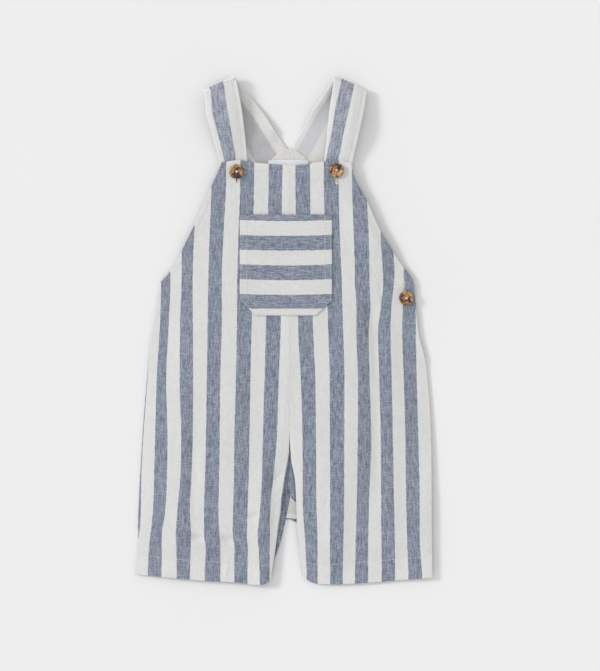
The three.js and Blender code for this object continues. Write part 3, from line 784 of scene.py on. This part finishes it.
# x, width and height
forkCreases = [(-3.2, 1.7, 0.6), (2.4, 1.7, 0.6), (-0.4, 1.0, -0.5)]
backCreases = [
    (-96, 150, 190, 7, 3, 0.6),
    (-52, 250, 120, 6, -6, 0.45),
    (-118, 262, 90, 6, 8, 0.5),
    (-74, 52, 80, 5, 86, 0.5),
    (-40, 330, 70, 5, 20, 0.35),
    (92, 190, 210, 7, -2, 0.65),
    (50, 280, 130, 6, 5, 0.4),
    (112, 90, 100, 6, -10, 0.5),
    (70, 46, 70, 5, 94, 0.45),
    (38, 350, 60, 5, -24, 0.3),
]


# Half of the back, flat on the surface, with soft creases and its stripes leaning out along the inseams
def makeBack(side):
    form = backForm
    sign = -1 if side == "left" else 1
    down = steps(form["rows"], 440)[:, None]
    along = steps(form["columns"], 140)
    across = (along if side == "right" else 1 - along)[None, :]
    hem = frontEnds(across)[f"{side}Hem"] + form["hemInset"]
    y = form["top"] + (hem - form["top"]) * down
    level = backLevels(y)
    inset = frontGrid["edgeInset"]
    bulge = 1 - ease(y, 69, 74)
    inner = level[f"{side}Inner"] + inset * bulge + frontGrid["seamSpare"]
    outer = level[f"{side}Outer"] - inset
    x = sign * (inner + (outer - inner) * across)
    fromEdge = np.minimum(outer - np.abs(x), np.abs(x) - level[f"{side}Inner"])
    z = form["face"] + 0.05 * lumps(x, y, 9, 16, 21) + foldHeight(x, y, backCreases) * rise(fromEdge / 22)
    # in the fork the back comes up close under the front, down to a crease above the gusset
    forkRise = form["forkRise"] + (form["forkTop"] - form["forkRise"]) * ease(y, 108, 128)
    lifted = forkRise * bell(x - form["forkX"], form["forkWidth"])
    z = z + lifted * ease(y, 97, 106) * (1 - ease(y, 140, 165))
    creases = sum(height * bell(x - creaseX, width) for creaseX, width, height in forkCreases)
    z = z + creases * bell(y - form["creaseY"], form["creaseLength"])
    z = z + legLift(x, y)
    half, end, far = linen["stripe"] / 2, form["leanEnd"], np.abs(x)
    edge = half + (form["leanEdge"] - half) * ease(form["leanTop"] - y, 0, 100)
    beyond = half + (far - edge) * (end - half) / (end - edge)
    place = np.where(far < edge, far * half / edge, np.where(far < end, beyond, far))
    makeSheet(
        f"backPanel_{side}",
        f"back_{side}",
        "striped_linen",
        stripedLinen,
        clothForm["wall"],
        (x, y, z),
        (sign * (linen["stripe"] + place), y + 1500 + 700 * (sign > 0)),
        (0.160, 0.450),
        ["floor"],
        bulge=np.where(across < 0.004, bulge, 1.0),
    )


# Straps

strapForm = {"wall": 1.6, "turnSteps": 26, "frontSteps": 110, "backSteps": 90, "columns": 30, "arch": 1.0}
strapForm |= {"cup": 1.5, "flatWidth": 0.036, "shownWidth": 0.0345, "stripeScale": 33}
# The runs start under the bib and at the shoulder fold: share of the run, then each edge's x, y and z.
# Blue is the share of the width at which it begins and ends, at each y, and ply how far the cloth lies
# double by the share of the width, both from the outer edge on the left strap and the inner one on the right.
strapRuns = {
    "left": {
        "front": [
            (0, -66.6, 412.5, 4.1, -41.6, 414.0, 4.1),
            (0.3, -71.6, 437.6, 4.2, -44.4, 440.5, 4.2),
            (0.5, -78.6, 465.0, 9.8, -46.4, 463.5, 9.8),
            (0.65, -82.3, 477.3, 12.4, -48.1, 478.9, 12.4),
            (0.8, -85.6, 489.0, 13.0, -50.2, 494.0, 12.6),
            (1, -86.9, 510.3, 12.6, -55.9, 525.7, 10.4),
        ],
        "back": [
            (0, -86.9, 510.3, 6.2, -55.9, 525.7, 3.6),
            (0.25, -74.5, 490.2, 6.4, -42.6, 508.8, 2.4),
            (0.5, -62.0, 470.0, 5.8, -28.8, 491.6, 3.2),
            (0.7, -51.1, 452.0, 3.4, -18.2, 475.4, 4.4),
            (0.85, -42.8, 438.2, 0.8, -9.8, 462.7, 1.6),
            (1, -34.4, 424.0, 0.8, -1.4, 449.8, 0.8),
        ],
        "blue": [(412, 0.165, 0.605), (516, 0.165, 0.605)],
        "backBlue": (0.165, 0.74),
        "ply": [(0, 1), (0.14, 1), (0.17, 0.5), (0.6, 0.4), (0.64, 0.1), (0.94, 0), (0.965, 1), (1, 1)],
    },
    "right": {
        "front": [
            (0, 61.2, 412.5, 5.6, 35.4, 414.0, 5.6),
            (0.3, 64.4, 437.6, 6.3, 36.9, 440.5, 6.1),
            (0.5, 69.9, 462.0, 11.0, 39.3, 463.5, 10.0),
            (0.65, 73.2, 477.0, 12.4, 40.7, 478.9, 12.0),
            (0.8, 76.2, 491.0, 11.4, 42.4, 494.0, 12.8),
            (1, 79.5, 511.5, 7.6, 47.0, 525.0, 12.6),
        ],
        "back": [
            (0, 79.5, 511.5, 2.0, 47.0, 525.0, 6.6),
            (0.25, 69.0, 490.8, 3.8, 35.5, 508.3, 6.0),
            (0.5, 58.6, 470.0, 4.6, 24.0, 491.6, 5.0),
            (0.7, 49.2, 452.4, 2.6, 15.2, 475.4, 2.6),
            (0.85, 42.0, 438.8, 0.8, 8.1, 462.7, 0.8),
            (1, 34.6, 425.0, 0.8, 0.9, 449.8, 0.8),
        ],
        "blue": [
            (412, 0, 0.47),
            (440.6, 0.04, 0.49),
            (475, 0.13, 0.525),
            (496, 0.155, 0.567),
            (517, 0.195, 0.596),
        ],
        "backBlue": (0.12, 0.46),
        "ply": [(0, 1), (0.19, 1), (0.5, 0.8), (0.66, 0.8), (0.7, 0), (0.94, 0), (0.965, 1), (1, 1)],
    },
}


# The strap's middle surface: up from under the bib, half round the shoulder fold, and down to the back neck.
# Each row joins its outer edge to its inner edge, and the fold's rows turn about the fold line.
def strapMiddle(side):
    names = "outerX outerY outerZ innerX innerY innerZ"
    across = np.linspace(0, 1, strapForm["columns"])

    def rowsOf(run, count):
        r = table(names, strapRuns[side][run])(np.linspace(0, 1, count))
        outer, inner = (np.stack([r[edge + axis] for axis in "XYZ"], -1) for edge in ("outer", "inner"))
        return outer[:, None] + (inner - outer)[:, None] * across[None, :, None]

    frontRows, backRows = rowsOf("front", strapForm["frontSteps"]), rowsOf("back", strapForm["backSteps"])
    foldRow, lowRow = frontRows[-1], backRows[0]
    line = unit((foldRow[-1] - foldRow[0]) * [1, 1, 0])
    away = np.array([-line[1], line[0], 0.0])
    away = away if away[1] > 0 else -away
    upward = np.array([0, 0, 1.0])
    radius = ((foldRow[:, 2] - lowRow[:, 2]) / 2)[None, :, None]
    turn = np.linspace(0, math.pi, strapForm["turnSteps"])[1:-1, None, None]
    middle = (foldRow * [1, 1, 0] + lowRow * [0, 0, 1])[None] + upward * radius
    foldRows = middle + away * radius * np.sin(turn) + upward * radius * np.cos(turn)
    return np.concatenate([frontRows, foldRows, backRows])


# A strap: its middle surface with a slight arch across where it stands free, and a ridge along both edges
def makeStrap(side):
    run, form = strapRuns[side], strapForm
    middle = strapMiddle(side)
    count = form["frontSteps"]
    share = np.linspace(0, 1, form["columns"])[None, :]
    width = np.linalg.norm(middle[:, -1] - middle[:, 0], axis=-1)[:, None]
    fromSide = width * np.minimum(share, 1 - share)
    onFront = (np.arange(len(middle)) < count)[:, None]
    free = np.where(onFront, ease(middle[..., 2], 4.6, 10), 0.0) * (1 - ease(middle[..., 1], 500, 516))
    swell = 0.07 * np.abs(lumps(middle[..., 0], middle[..., 1], 8, 14, 41))
    swell = swell + free * form["arch"] * (rise(fromSide / (width * 0.5)) - 1)
    ridge = 0.16 * (1 - ease(fromSide, 1.6, 2.6))
    swell = swell + onFront * ridge * ease(middle[..., 2], 4.3, 6)
    # the back runs are cupped lengthwise, with their free edge higher
    cupped = ~onFront * ease(middle[..., 2], 2.6, 5.2) * (middle[..., 2] < 12)
    swell = swell - form["cup"] * cupped * (bell(share - 0.68, 0.2) - 0.9 * ease(share, 0.78, 1))
    middle = middle + np.stack([0 * swell, 0 * swell, swell], -1)
    length = np.cumsum(np.concatenate([[0], np.linalg.norm(np.diff(middle[:, 0], axis=0), axis=-1)]))
    share = (share if side == "left" else 1 - share) + 0 * width
    blue = table("start stop", run["blue"])(middle[..., 1].mean(axis=1))
    onBack = ease(np.arange(len(middle)), count + 2, count + 20)[:, None]
    start = blue["start"][:, None] * (1 - onBack) + run["backBlue"][0] * onBack
    stop = blue["stop"][:, None] * (1 - onBack) + run["backBlue"][1] * onBack
    # across the strap runs part of a white stripe, the blue one and part of the next white one
    stripe, scale = linen["stripe"], form["stripeScale"]
    white = stripe / 2 - (start - share) * scale
    bluePart = stripe * (0.5 + (share - start) / (stop - start))
    rest = 1.5 * stripe + (share - stop) * np.minimum(scale, 0.9 * stripe / (1 - stop))
    across = np.where(share < start, white, np.where(share < stop, bluePart, rest))
    grain = np.stack([across, length[:, None] + 3000 + 0 * across], -1)
    ply = np.interp(share, *np.array(run["ply"]).T)
    if side == "left":
        middle, grain, ply = middle[:, ::-1], grain[:, ::-1], ply[:, ::-1]
    normal = unit(np.cross(np.gradient(middle, axis=0), np.gradient(middle, axis=1)))
    outer = middle + normal * form["wall"] / 2
    materials, nodes = [strapLinen, liningLinen[side]], [f"strap_{side}"]
    name = f"shoulderStrap_{side}"
    piece = clothShell(name, outer, grain, form["wall"], materials, "striped_linen", nodes, ply=ply)
    return outer


# Pocket, facing, label, gusset and placket

pocketForm = {
    "left": -51.6,
    "right": 44.2,
    "top": 384.8,
    "bottom": 279.8,
    "cornerX": 17,
    "cornerY": 15.6,
    "lift": 1.25,
    "wall": 0.95,
    "edgeInset": 0.45,
    "firstStripe": 16.9,
    "pitch": 0.978,
    "hem": 8.0,
    "stitchInsets": (1.3, 7.3),
}


# The pocket's outline at a height: straight sides, then cut corners
def pocketSides(y):
    p = pocketForm
    cut = np.clip((p["bottom"] + p["cornerY"] - y) / p["cornerY"], 0, 1) * p["cornerX"]
    return p["left"] + cut, p["right"] - cut


# Height of the pocket's face: the front's own, moved out, with slack at the mouth and turned edges
def pocketTop(x, y):
    p = pocketForm
    left, right = pocketSides(y)
    inside = np.minimum(np.minimum(x - left, right - x), y - p["bottom"])
    mouth = ease(y, p["top"] - 26, p["top"])
    middle = 1 - ((x - (p["left"] + p["right"]) / 2) / 48) ** 2
    puff = 0.5 * rise(inside / 14) + 0.5 * mouth * np.clip(middle, 0, 1)
    turned = 0.18 * (1 - ease(inside, 7.6, 8.8)) - 0.12 * bell(inside - p["stitchInsets"][1], 0.8)
    return frontTop(x, y, fine=False) + p["lift"] + puff + turned + 0.05 * lumps(x, y, 8, 8, 61)


def makePocket():
    p = pocketForm
    down, across = steps(100, 105)[:, None], steps(90, 95)[None, :]
    inset = p["edgeInset"]
    y = (p["top"] - inset) + (p["bottom"] - p["top"] + 2 * inset) * down
    left, right = pocketSides(y)
    x = left + inset + (right - left - 2 * inset) * across
    y = y + 0 * x
    sag = 1.2 * (1 - (2 * across - 1) ** 2) * ease(y, p["bottom"], p["bottom"] + 30)
    makeSheet(
        "patchPocket",
        "chest_pocket",
        "striped_linen",
        stripedLinen,
        p["wall"],
        (x, y, pocketTop(x, y)),
        (p["firstStripe"] + (p["top"] - y - sag) * p["pitch"], x + 4000),
        (0.098, 0.108),
        ["frontPanel_left", "frontPanel_right"],
        ply=0.5 * ease(y, p["top"] - p["hem"] - 0.5, p["top"] - p["hem"] + 0.5),
    )


trimForm = {"wall": 0.9, "face": 2.5}
facingForm = {"top": 453.4, "bottom": 422.5, "inset": 0.4, "face": 2.9, "edgeDrop": 0.35}
facingLevels = table(
    "half",
    [(453.9, 1.2), (452.2, 6.5), (448, 12.6), (443.8, 17.6), (438.6, 21.6), (431, 25.6), (422, 27.5)],
)


# The half-moon at the back neck, with a rough overlocked edge
def makeFacing():
    down = steps(40, 32, (0.5, 1.2))[:, None] ** 1.4
    across = steps(56, 40, (0.5, 1.2))[None, :]
    f = facingForm
    y = f["top"] - (f["top"] - f["bottom"]) * down
    half = facingLevels(y)["half"] - f["inset"]
    x = (2 * across - 1) * half
    y = y + 0 * x
    inside = half - np.abs(x)
    z = f["face"] - f["edgeDrop"] * (1 - rise(inside / 3)) + 0.12 * lumps(x, y, 3, 3, 71)
    z = z + 0.12 * lumps(x, y, 1.4, 1.4, 73) * (1 - ease(inside, 3, 5))
    makeSheet(
        "backNeckFacing",
        "back_facing",
        "plain_linen",
        creamLinen,
        trimForm["wall"],
        (x, y, z),
        (x, y + 5000),
        (0.056, 0.033),
        ["shoulderStrap_left", "shoulderStrap_right"],
    )


labelForm = {"left": -21.8, "width": 41.1, "top": 440.8, "bottom": 428.2, "bow": 1.0}
labelForm |= {"wall": 0.7, "face": 4.2, "middleRise": 0.2, "wave": 0.12}


# The neck label, bare
def makeLabel():
    across, down = steps(60, 41, (0.4, 1.0))[None, :], steps(20, 14, (0.4, 1.0))[:, None]
    f = labelForm
    x = f["left"] + f["width"] * across
    bow = 1 - (2 * across - 1) ** 2
    top = f["top"] + f["bow"] * bow
    y = top + (f["bottom"] - top) * down
    z = f["face"] + f["wave"] * np.sin(x / 6) + f["middleRise"] * bow
    makeSheet(
        "neckLabel",
        "neck_label",
        "label_tape",
        labelTape,
        f["wall"],
        (x, y, z),
        (x, y + 6000),
        (0.042, 0.0145),
        ["backNeckFacing"],
        measured=False,
    )


gussetForm = {"inset": 0.4, "hemFrom": 0.76, "hemTo": 0.82, "hemRise": 0.3, "groove": 0.2}
gussetRows = table(
    "leftX rightX leftY rightY",
    [(0, 0.6, 3.4, 91.6, 89.2), (0.3, -0.4, 9.6, 84.8, 82.6), (1, -3.4, 14.0, 69.7, 67.9)],
)


# The gusset in the fork, with its narrow hem
def makeGusset():
    down, across = steps(40, 24, (0.4, 1.0))[:, None], steps(20, 14, (0.4, 1.0))[None, :]
    r = gussetRows(down)
    inset = gussetForm["inset"]
    x = r["leftX"] + inset + (r["rightX"] - r["leftX"] - 2 * inset) * across
    y = r["leftY"] + (r["rightY"] - r["leftY"]) * across
    hem = ease(down, gussetForm["hemFrom"], gussetForm["hemTo"])
    z = trimForm["face"] + 0.12 * lumps(x, y, 4, 6, 81) + gussetForm["hemRise"] * hem
    z = z - gussetForm["groove"] * bell(down - 0.75, 0.03)
    makeSheet(
        "crotchGusset",
        "crotch_gusset",
        "plain_linen",
        shadedGussetLinen,
        trimForm["wall"],
        (x, y, z),
        (x, y + 6500),
        (0.020, 0.028),
        ["backPanel_left", "backPanel_right"],
        ply=hem,
    )


placketForm = {"top": 310.6, "bottom": 240.4, "inside": 24, "outside": 1.3}


# The underlap of the side opening
def makePlacket():
    p = placketForm
    down, across = steps(70, 70)[:, None], steps(20, 25)[None, :]
    y = p["top"] + (p["bottom"] - p["top"]) * down
    x = frontLevels(y)["rightOuter"] - p["inside"] + (p["inside"] + p["outside"]) * across
    y = y + 0 * x
    makeSheet(
        "sidePlacket",
        "side_placket",
        "striped_linen",
        stripedLinen,
        trimForm["wall"],
        (x, y, trimForm["face"] + 0.1 * lumps(x, y, 6, 12, 91)),
        (0 * x, y + 7000 + x),
        (0.030, 0.074),
        ["backPanel_right"],
    )


for side in ("left", "right"):
    makeBack(side)
strapFaces = {side: makeStrap(side) for side in ("left", "right")}
makeFacing()
makeLabel()
makeGusset()
makePlacket()
makePocket()
print("cloth pieces made")


# Stitches

# Bars of thread from one end to the other: six-sided tubes that swell in the middle and sink at both ends
def stitchBars(ends, radius, up, sink=0.6):
    start, stop = ends[:, 0], ends[:, 1]
    way = unit(stop - start)
    upward = np.broadcast_to(np.asarray(up, float), way.shape)
    side = unit(np.cross(way, upward))
    upward = np.cross(side, way)
    share = np.array([0.0, 0.16, 0.5, 0.84, 1.0])
    swell = np.array([0.45, 0.92, 1.0, 0.92, 0.45]) * radius
    height = np.array([-1.2, 0.0, 0.35, 0.0, -1.2]) * radius * sink
    angle = np.arange(6) * math.pi / 3
    centre = start[:, None] + (stop - start)[:, None] * share[None, :, None]
    centre = centre + upward[:, None] * height[None, :, None]
    ring = side[:, None, None] * np.cos(angle)[:, None] + upward[:, None, None] * np.sin(angle)[:, None]
    points = (centre[:, :, None] + ring * swell[None, :, None, None]).reshape(-1, 3)
    index = np.arange(len(points)).reshape(-1, len(share), len(angle))
    return points, facingOut(points, [ringQuads(index), index[:, 0, ::-1], index[:, -1]])


# Running stitches along a path: even steps of its length, each a bar with a short gap after it
def stitchesAlong(path, pitch, length):
    path = np.asarray(path, float)
    travelled = np.concatenate([[0], np.cumsum(np.linalg.norm(np.diff(path, axis=0), axis=-1))])
    count = max(int(travelled[-1] // pitch), 1)
    starts = np.arange(count) * pitch + (travelled[-1] - count * pitch) / 2
    at = lambda s: np.stack([np.interp(s, travelled, path[:, k]) for k in range(3)], -1)
    return np.stack([at(starts), at(starts + length)], 1)


stitchForm = {"pitch": 2.4, "length": 2.1, "radius": 0.18, "fineRadius": 0.099}
stitchForm |= {"proud": 0.06, "strapInset": 4.6}
seams = []
fineSeams = []


# One row of stitches on a surface, given its places and the surface's height
def addSeam(x, y, top=frontTop, rows=seams):
    path = np.stack([x, y, top(x, y) + stitchForm["proud"]], -1)
    rows.append(stitchesAlong(path, stitchForm["pitch"], stitchForm["length"]))


for side, sign in (("left", -1), ("right", 1)):
    t = np.linspace(0.012, 0.985, 160)
    hemLine = frontEnds(t)[f"{side}Hem"] + clothForm["hemDepth"]
    level = frontLevels(hemLine)
    hemX = sign * (level[f"{side}Inner"] + (level[f"{side}Outer"] - level[f"{side}Inner"]) * t)
    addSeam(hemX, hemLine + hemDepth(hemX) - clothForm["hemDepth"])
    t = np.linspace(0.0, 0.93, 120)
    topLine = frontEnds(t)[f"{side}Top"] - clothForm["bibTurn"]
    addSeam(sign * (0.4 + frontLevels(topLine)[f"{side}Outer"] * t), topLine)
    yArm = np.linspace(434, 318, 140)
    addSeam(sign * (frontLevels(yArm)[f"{side}Outer"] - clothForm["armTurn"]), yArm, rows=fineSeams)
    # the straps' outer face carries a row of stitches inside each edge, from the bib to the back neck
    shownRows = strapFaces[side][26:-20]
    last = shownRows.shape[1] - 1
    width = np.linalg.norm(shownRows[:, 0] - shownRows[:, -1], axis=-1)
    outwards = np.cross(np.gradient(shownRows, axis=0), np.gradient(shownRows, axis=1))
    spot = stitchForm["strapInset"] / width * last
    row = np.arange(len(shownRows))
    for spot in (spot, last - spot):
        low = np.floor(spot).astype(int)
        part = (spot - low)[:, None]
        path = shownRows[row, low] * (1 - part) + shownRows[row, low + 1] * part
        path = path + unit(outwards[row, low]) * stitchForm["proud"]
        seams.append(stitchesAlong(path, stitchForm["pitch"], stitchForm["length"]))

p = pocketForm
for inside in p["stitchInsets"]:
    cornerRun = inside * 0.47
    left, right, corner = p["left"] + inside, p["right"] - inside, p["cornerX"] + cornerRun
    low, side = p["bottom"] + inside, p["bottom"] + p["cornerY"] + cornerRun
    xs = np.array([left, left, p["left"] + corner, p["right"] - corner, right, right])
    ys = np.array([p["top"] - 1, side, low, low, side, p["top"] - 1])
    along = np.concatenate([[0], np.cumsum(np.hypot(np.diff(xs), np.diff(ys)))])
    s = np.linspace(0, along[-1], 400)
    addSeam(np.interp(s, along, xs), np.interp(s, along, ys), pocketTop)
for name, rows, radius in (("topstitching", seams, "radius"), ("armholeStitching", fineSeams, "fineRadius")):
    points, faces = stitchBars(np.concatenate(rows), stitchForm[radius], (0, 0, 1))
    placeMesh(name, points, faces, [whiteThread], "plain_linen")

holeForm = {"pitch": 0.5, "radius": 0.27, "endGap": 1.1, "slitGap": 0.7, "slitShare": 0.9}
holeForm |= {"endBars": (0.0, 0.45, 0.9), "proud": 0.12, "endProud": 0.14, "slitProud": 0.02}
# x, top, bottom, half width and slit radius: only the left one gapes
holePlaces = {
    "left": (-54.9, 427.0, 417.4, 1.7, 0.42),
    "right": (49.4, 428.0, 416.3, 1.7, 0.12),
    "side": (119.0, 315.6, 300.0, 1.1, 0.1),
}


# Places on the front's face, raised by a little
def onFront(x, y, raised):
    x, y = np.broadcast_arrays(np.asarray(x, float), np.asarray(y, float))
    return np.stack([x, y, frontTop(x, y) + raised], -1)


# A buttonhole: two columns of close satin bars, one bar across each end, and between them a dark bar, painted
# shade of the open slit
def addButtonhole(x, top, bottom, half, slitRadius):
    h = holeForm
    y = np.arange(bottom + h["endGap"], top - h["endGap"], h["pitch"])
    bars = []
    for sign in (-1, 1):
        ends = [onFront(x + sign * far, y, h["proud"]) for far in (h["slitShare"] * slitRadius, half)]
        bars.append(np.stack(ends, 1))
    for first, way in ((bottom, 1), (top, -1)):
        y = first + np.array(h["endBars"]) * way
        bars.append(np.stack([onFront(x + far, y, h["endProud"]) for far in (-half, half)], 1))
    slit = onFront(x, np.array([bottom + h["slitGap"], top - h["slitGap"]]), h["slitProud"])[None]
    return np.concatenate(bars), stitchBars(slit, slitRadius, (0, 0, 1), sink=0.2)


holes = {side: addButtonhole(*place) for side, place in holePlaces.items()}
bars = np.concatenate([made[0] for made in holes.values()])
points, faces = stitchBars(bars, holeForm["radius"], (0, 0, 1))
placeMesh("buttonholeStitches", points, faces, [whiteThread], "plain_linen")
for side, made in holes.items():
    placeMesh(f"buttonholeSlitShade_{side}", *made[1], [slitShade], "plain_linen")


# Buttons

buttonForm = {
    "diameter": 15.2,
    "thickness": 3.2,
    "aroundSteps": 72,
    "holeRadius": 0.8,
    "holeSpacing": 1.2,
    "holeDepth": 1.2,
    "clearance": 0.55,
    "threadRadius": 0.36,
    "faceStart": 12,  # the ring of the profile from which the thread holes are sunk
    "dish": 0.61,  # share of the thickness
    "barReach": 1.3,
    "barGap": 0.4,
    "barProud": 0.25,
    "crossRise": 0.3,
}
# x, y and turn in degrees
buttonPlaces = {
    "strap_button_left": (-54.9, 429.3, 20),
    "strap_button_right": (48.8, 430.5, 65),
    "side_button": (121.5, 298.1, 35),
}
# share of the radius and share of the thickness, from under the middle round the rim to the dished face
buttonProfile = [
    *[(0, 0), (0.4, 0), (0.62, 0), (0.8, 0.07), (0.92, 0.2), (0.985, 0.38), (1, 0.5), (0.985, 0.68)],
    *[(0.94, 0.86), (0.88, 0.97), (0.82, 1.0), (0.76, 0.98), (0.70, 0.88), (0.64, 0.75), (0.57, 0.67)],
    *[(0.5, 0.63), (0.45, 0.62)],
    *[(share / 100, buttonForm["dish"]) for share in range(40, -1, -4)],
]


# A frame square to the cloth at a place on the front: two directions along it and its normal
def clothFrame(x, y, reach=6.0):
    slopeX = (frontTop(x + reach, y, False) - frontTop(x - reach, y, False)) / (2 * reach)
    slopeY = (frontTop(x, y + reach, False) - frontTop(x, y - reach, False)) / (2 * reach)
    normal = unit(np.array([-float(slopeX), -float(slopeY), 1.0]))
    right = unit(np.cross([0, 1.0, 0], normal))
    return np.array([right, np.cross(normal, right), normal])


# A turned button: its profile carried round the axis, with four dished thread holes sunk in its face
def makeButton(node, place):
    x, y, turn = place
    f = buttonForm
    profile = np.array(buttonProfile) * [f["diameter"] / 2, f["thickness"]]
    around = f["aroundSteps"]
    angle = np.arange(around) * 2 * math.pi / around
    radial, height = profile[1:-1, 0][:, None], profile[1:-1, 1][:, None] + 0 * angle
    px, py = radial * np.cos(angle), radial * np.sin(angle)
    face = (np.arange(len(profile) - 2) > f["faceStart"])[:, None]
    for sx, sy in ((-1, -1), (-1, 1), (1, -1), (1, 1)):
        far = np.hypot(px - sx * f["holeSpacing"], py - sy * f["holeSpacing"])
        sunk = 1 - ease(far, f["holeRadius"] * 0.55, f["holeRadius"] * 1.15)
        height = height - face * f["holeDepth"] * sunk
    body = np.stack([px, py, height], -1).reshape(-1, 3)
    points = np.concatenate([body, [[0, 0, profile[0, 1]], [0, 0, profile[-1, 1]]]])
    index = np.arange(len(body)).reshape(-1, around)
    after = np.roll(index, -1, axis=1)
    low = np.stack([np.full(around, len(body)), after[0], index[0]], -1)
    high = np.stack([np.full(around, len(body) + 1), index[-1], after[-1]], -1)
    faces = facingOut(points, [ringQuads(index), low, high])
    axes = clothFrame(x, y)
    a = math.radians(turn)
    turned = points @ np.array([[math.cos(a), math.sin(a), 0], [-math.sin(a), math.cos(a), 0], [0, 0, 1]])
    base = np.array([x, y, float(frontTop(x, y, False))]) + axes[2] * f["clearance"]
    placeMesh(f"button_{node}", base + turned @ axes, faces, [mottledResin], "mottled_resin", nodes=[node])
    # thread: two pairs of bars over the face, crossed
    ends = []
    for k in (45, 135):
        way = np.array([math.cos(math.radians(k) + a), math.sin(math.radians(k) + a)])
        d = way * f["holeSpacing"] * f["barReach"]
        for sign in (-1, 1):
            shift = np.array([-way[1], way[0]]) * sign * f["barGap"]
            lift = f["thickness"] * f["dish"] + f["barProud"] + f["crossRise"] * (k > 90)
            ends.append([[*(shift - d), lift], [*(shift + d), lift]])
    points, faces = stitchBars(base + np.array(ends) @ axes, f["threadRadius"], axes[2], sink=0.5)
    placeMesh(f"thread_{node}", points, faces, [whiteThread], "plain_linen")


for node, place in buttonPlaces.items():
    makeButton(node, place)
print("buttons and stitches made")


# Floor, light and camera

floorMesh = bpy.data.meshes.new("floor")
reach = studio["floorReach"] * mm
corners = [(-reach, -reach, 0), (reach, -reach, 0), (reach, reach, 0), (-reach, reach, 0)]
floorMesh.from_pydata(corners, [], [(0, 1, 2, 3)])
floorMesh.materials.append(floorMaterial())
floor = bpy.data.objects.new("floor", floorMesh)
floor.location.z = studio["floorZ"] * mm
bpy.context.collection.objects.link(floor)

world = bpy.data.worlds.new("studio")
bpy.context.scene.world = world
world.use_nodes = True
background = world.node_tree.nodes["Background"]
background.inputs[0].default_value = (1, 1, 1, 1)
background.inputs[1].default_value = studio["fillStrength"]

key = bpy.data.lights.new("key", "SUN")
key.energy = studio["keyStrength"]
key.angle = math.radians(studio["keySoftness"])
keyObject = bpy.data.objects.new("key", key)
bearing, elevation = math.radians(studio["keyBearing"]), math.radians(studio["keyElevation"])
keyObject.rotation_euler = (0, math.pi / 2 - elevation, bearing)
bpy.context.collection.objects.link(keyObject)

camera = bpy.data.cameras.new("photoCamera")
cameraObject = bpy.data.objects.new("photoCamera", camera)
aim = np.array([photoFrame["middleX"] + seamX, photoFrame["middleY"] + hemY, photoCamera["height"]])
cameraObject.location = aim * mm
tall = photoFrame["pixelsHigh"] * photoFrame["mmPerPixel"]
camera.lens = camera.sensor_width * (photoCamera["height"] - photoCamera["aimZ"]) / tall
camera.clip_start, camera.clip_end = photoCamera["near"] * mm, photoCamera["far"] * mm
bpy.context.collection.objects.link(cameraObject)
bpy.context.scene.camera = cameraObject
bpy.context.scene.view_settings.view_transform = "Standard"
print("stage made")
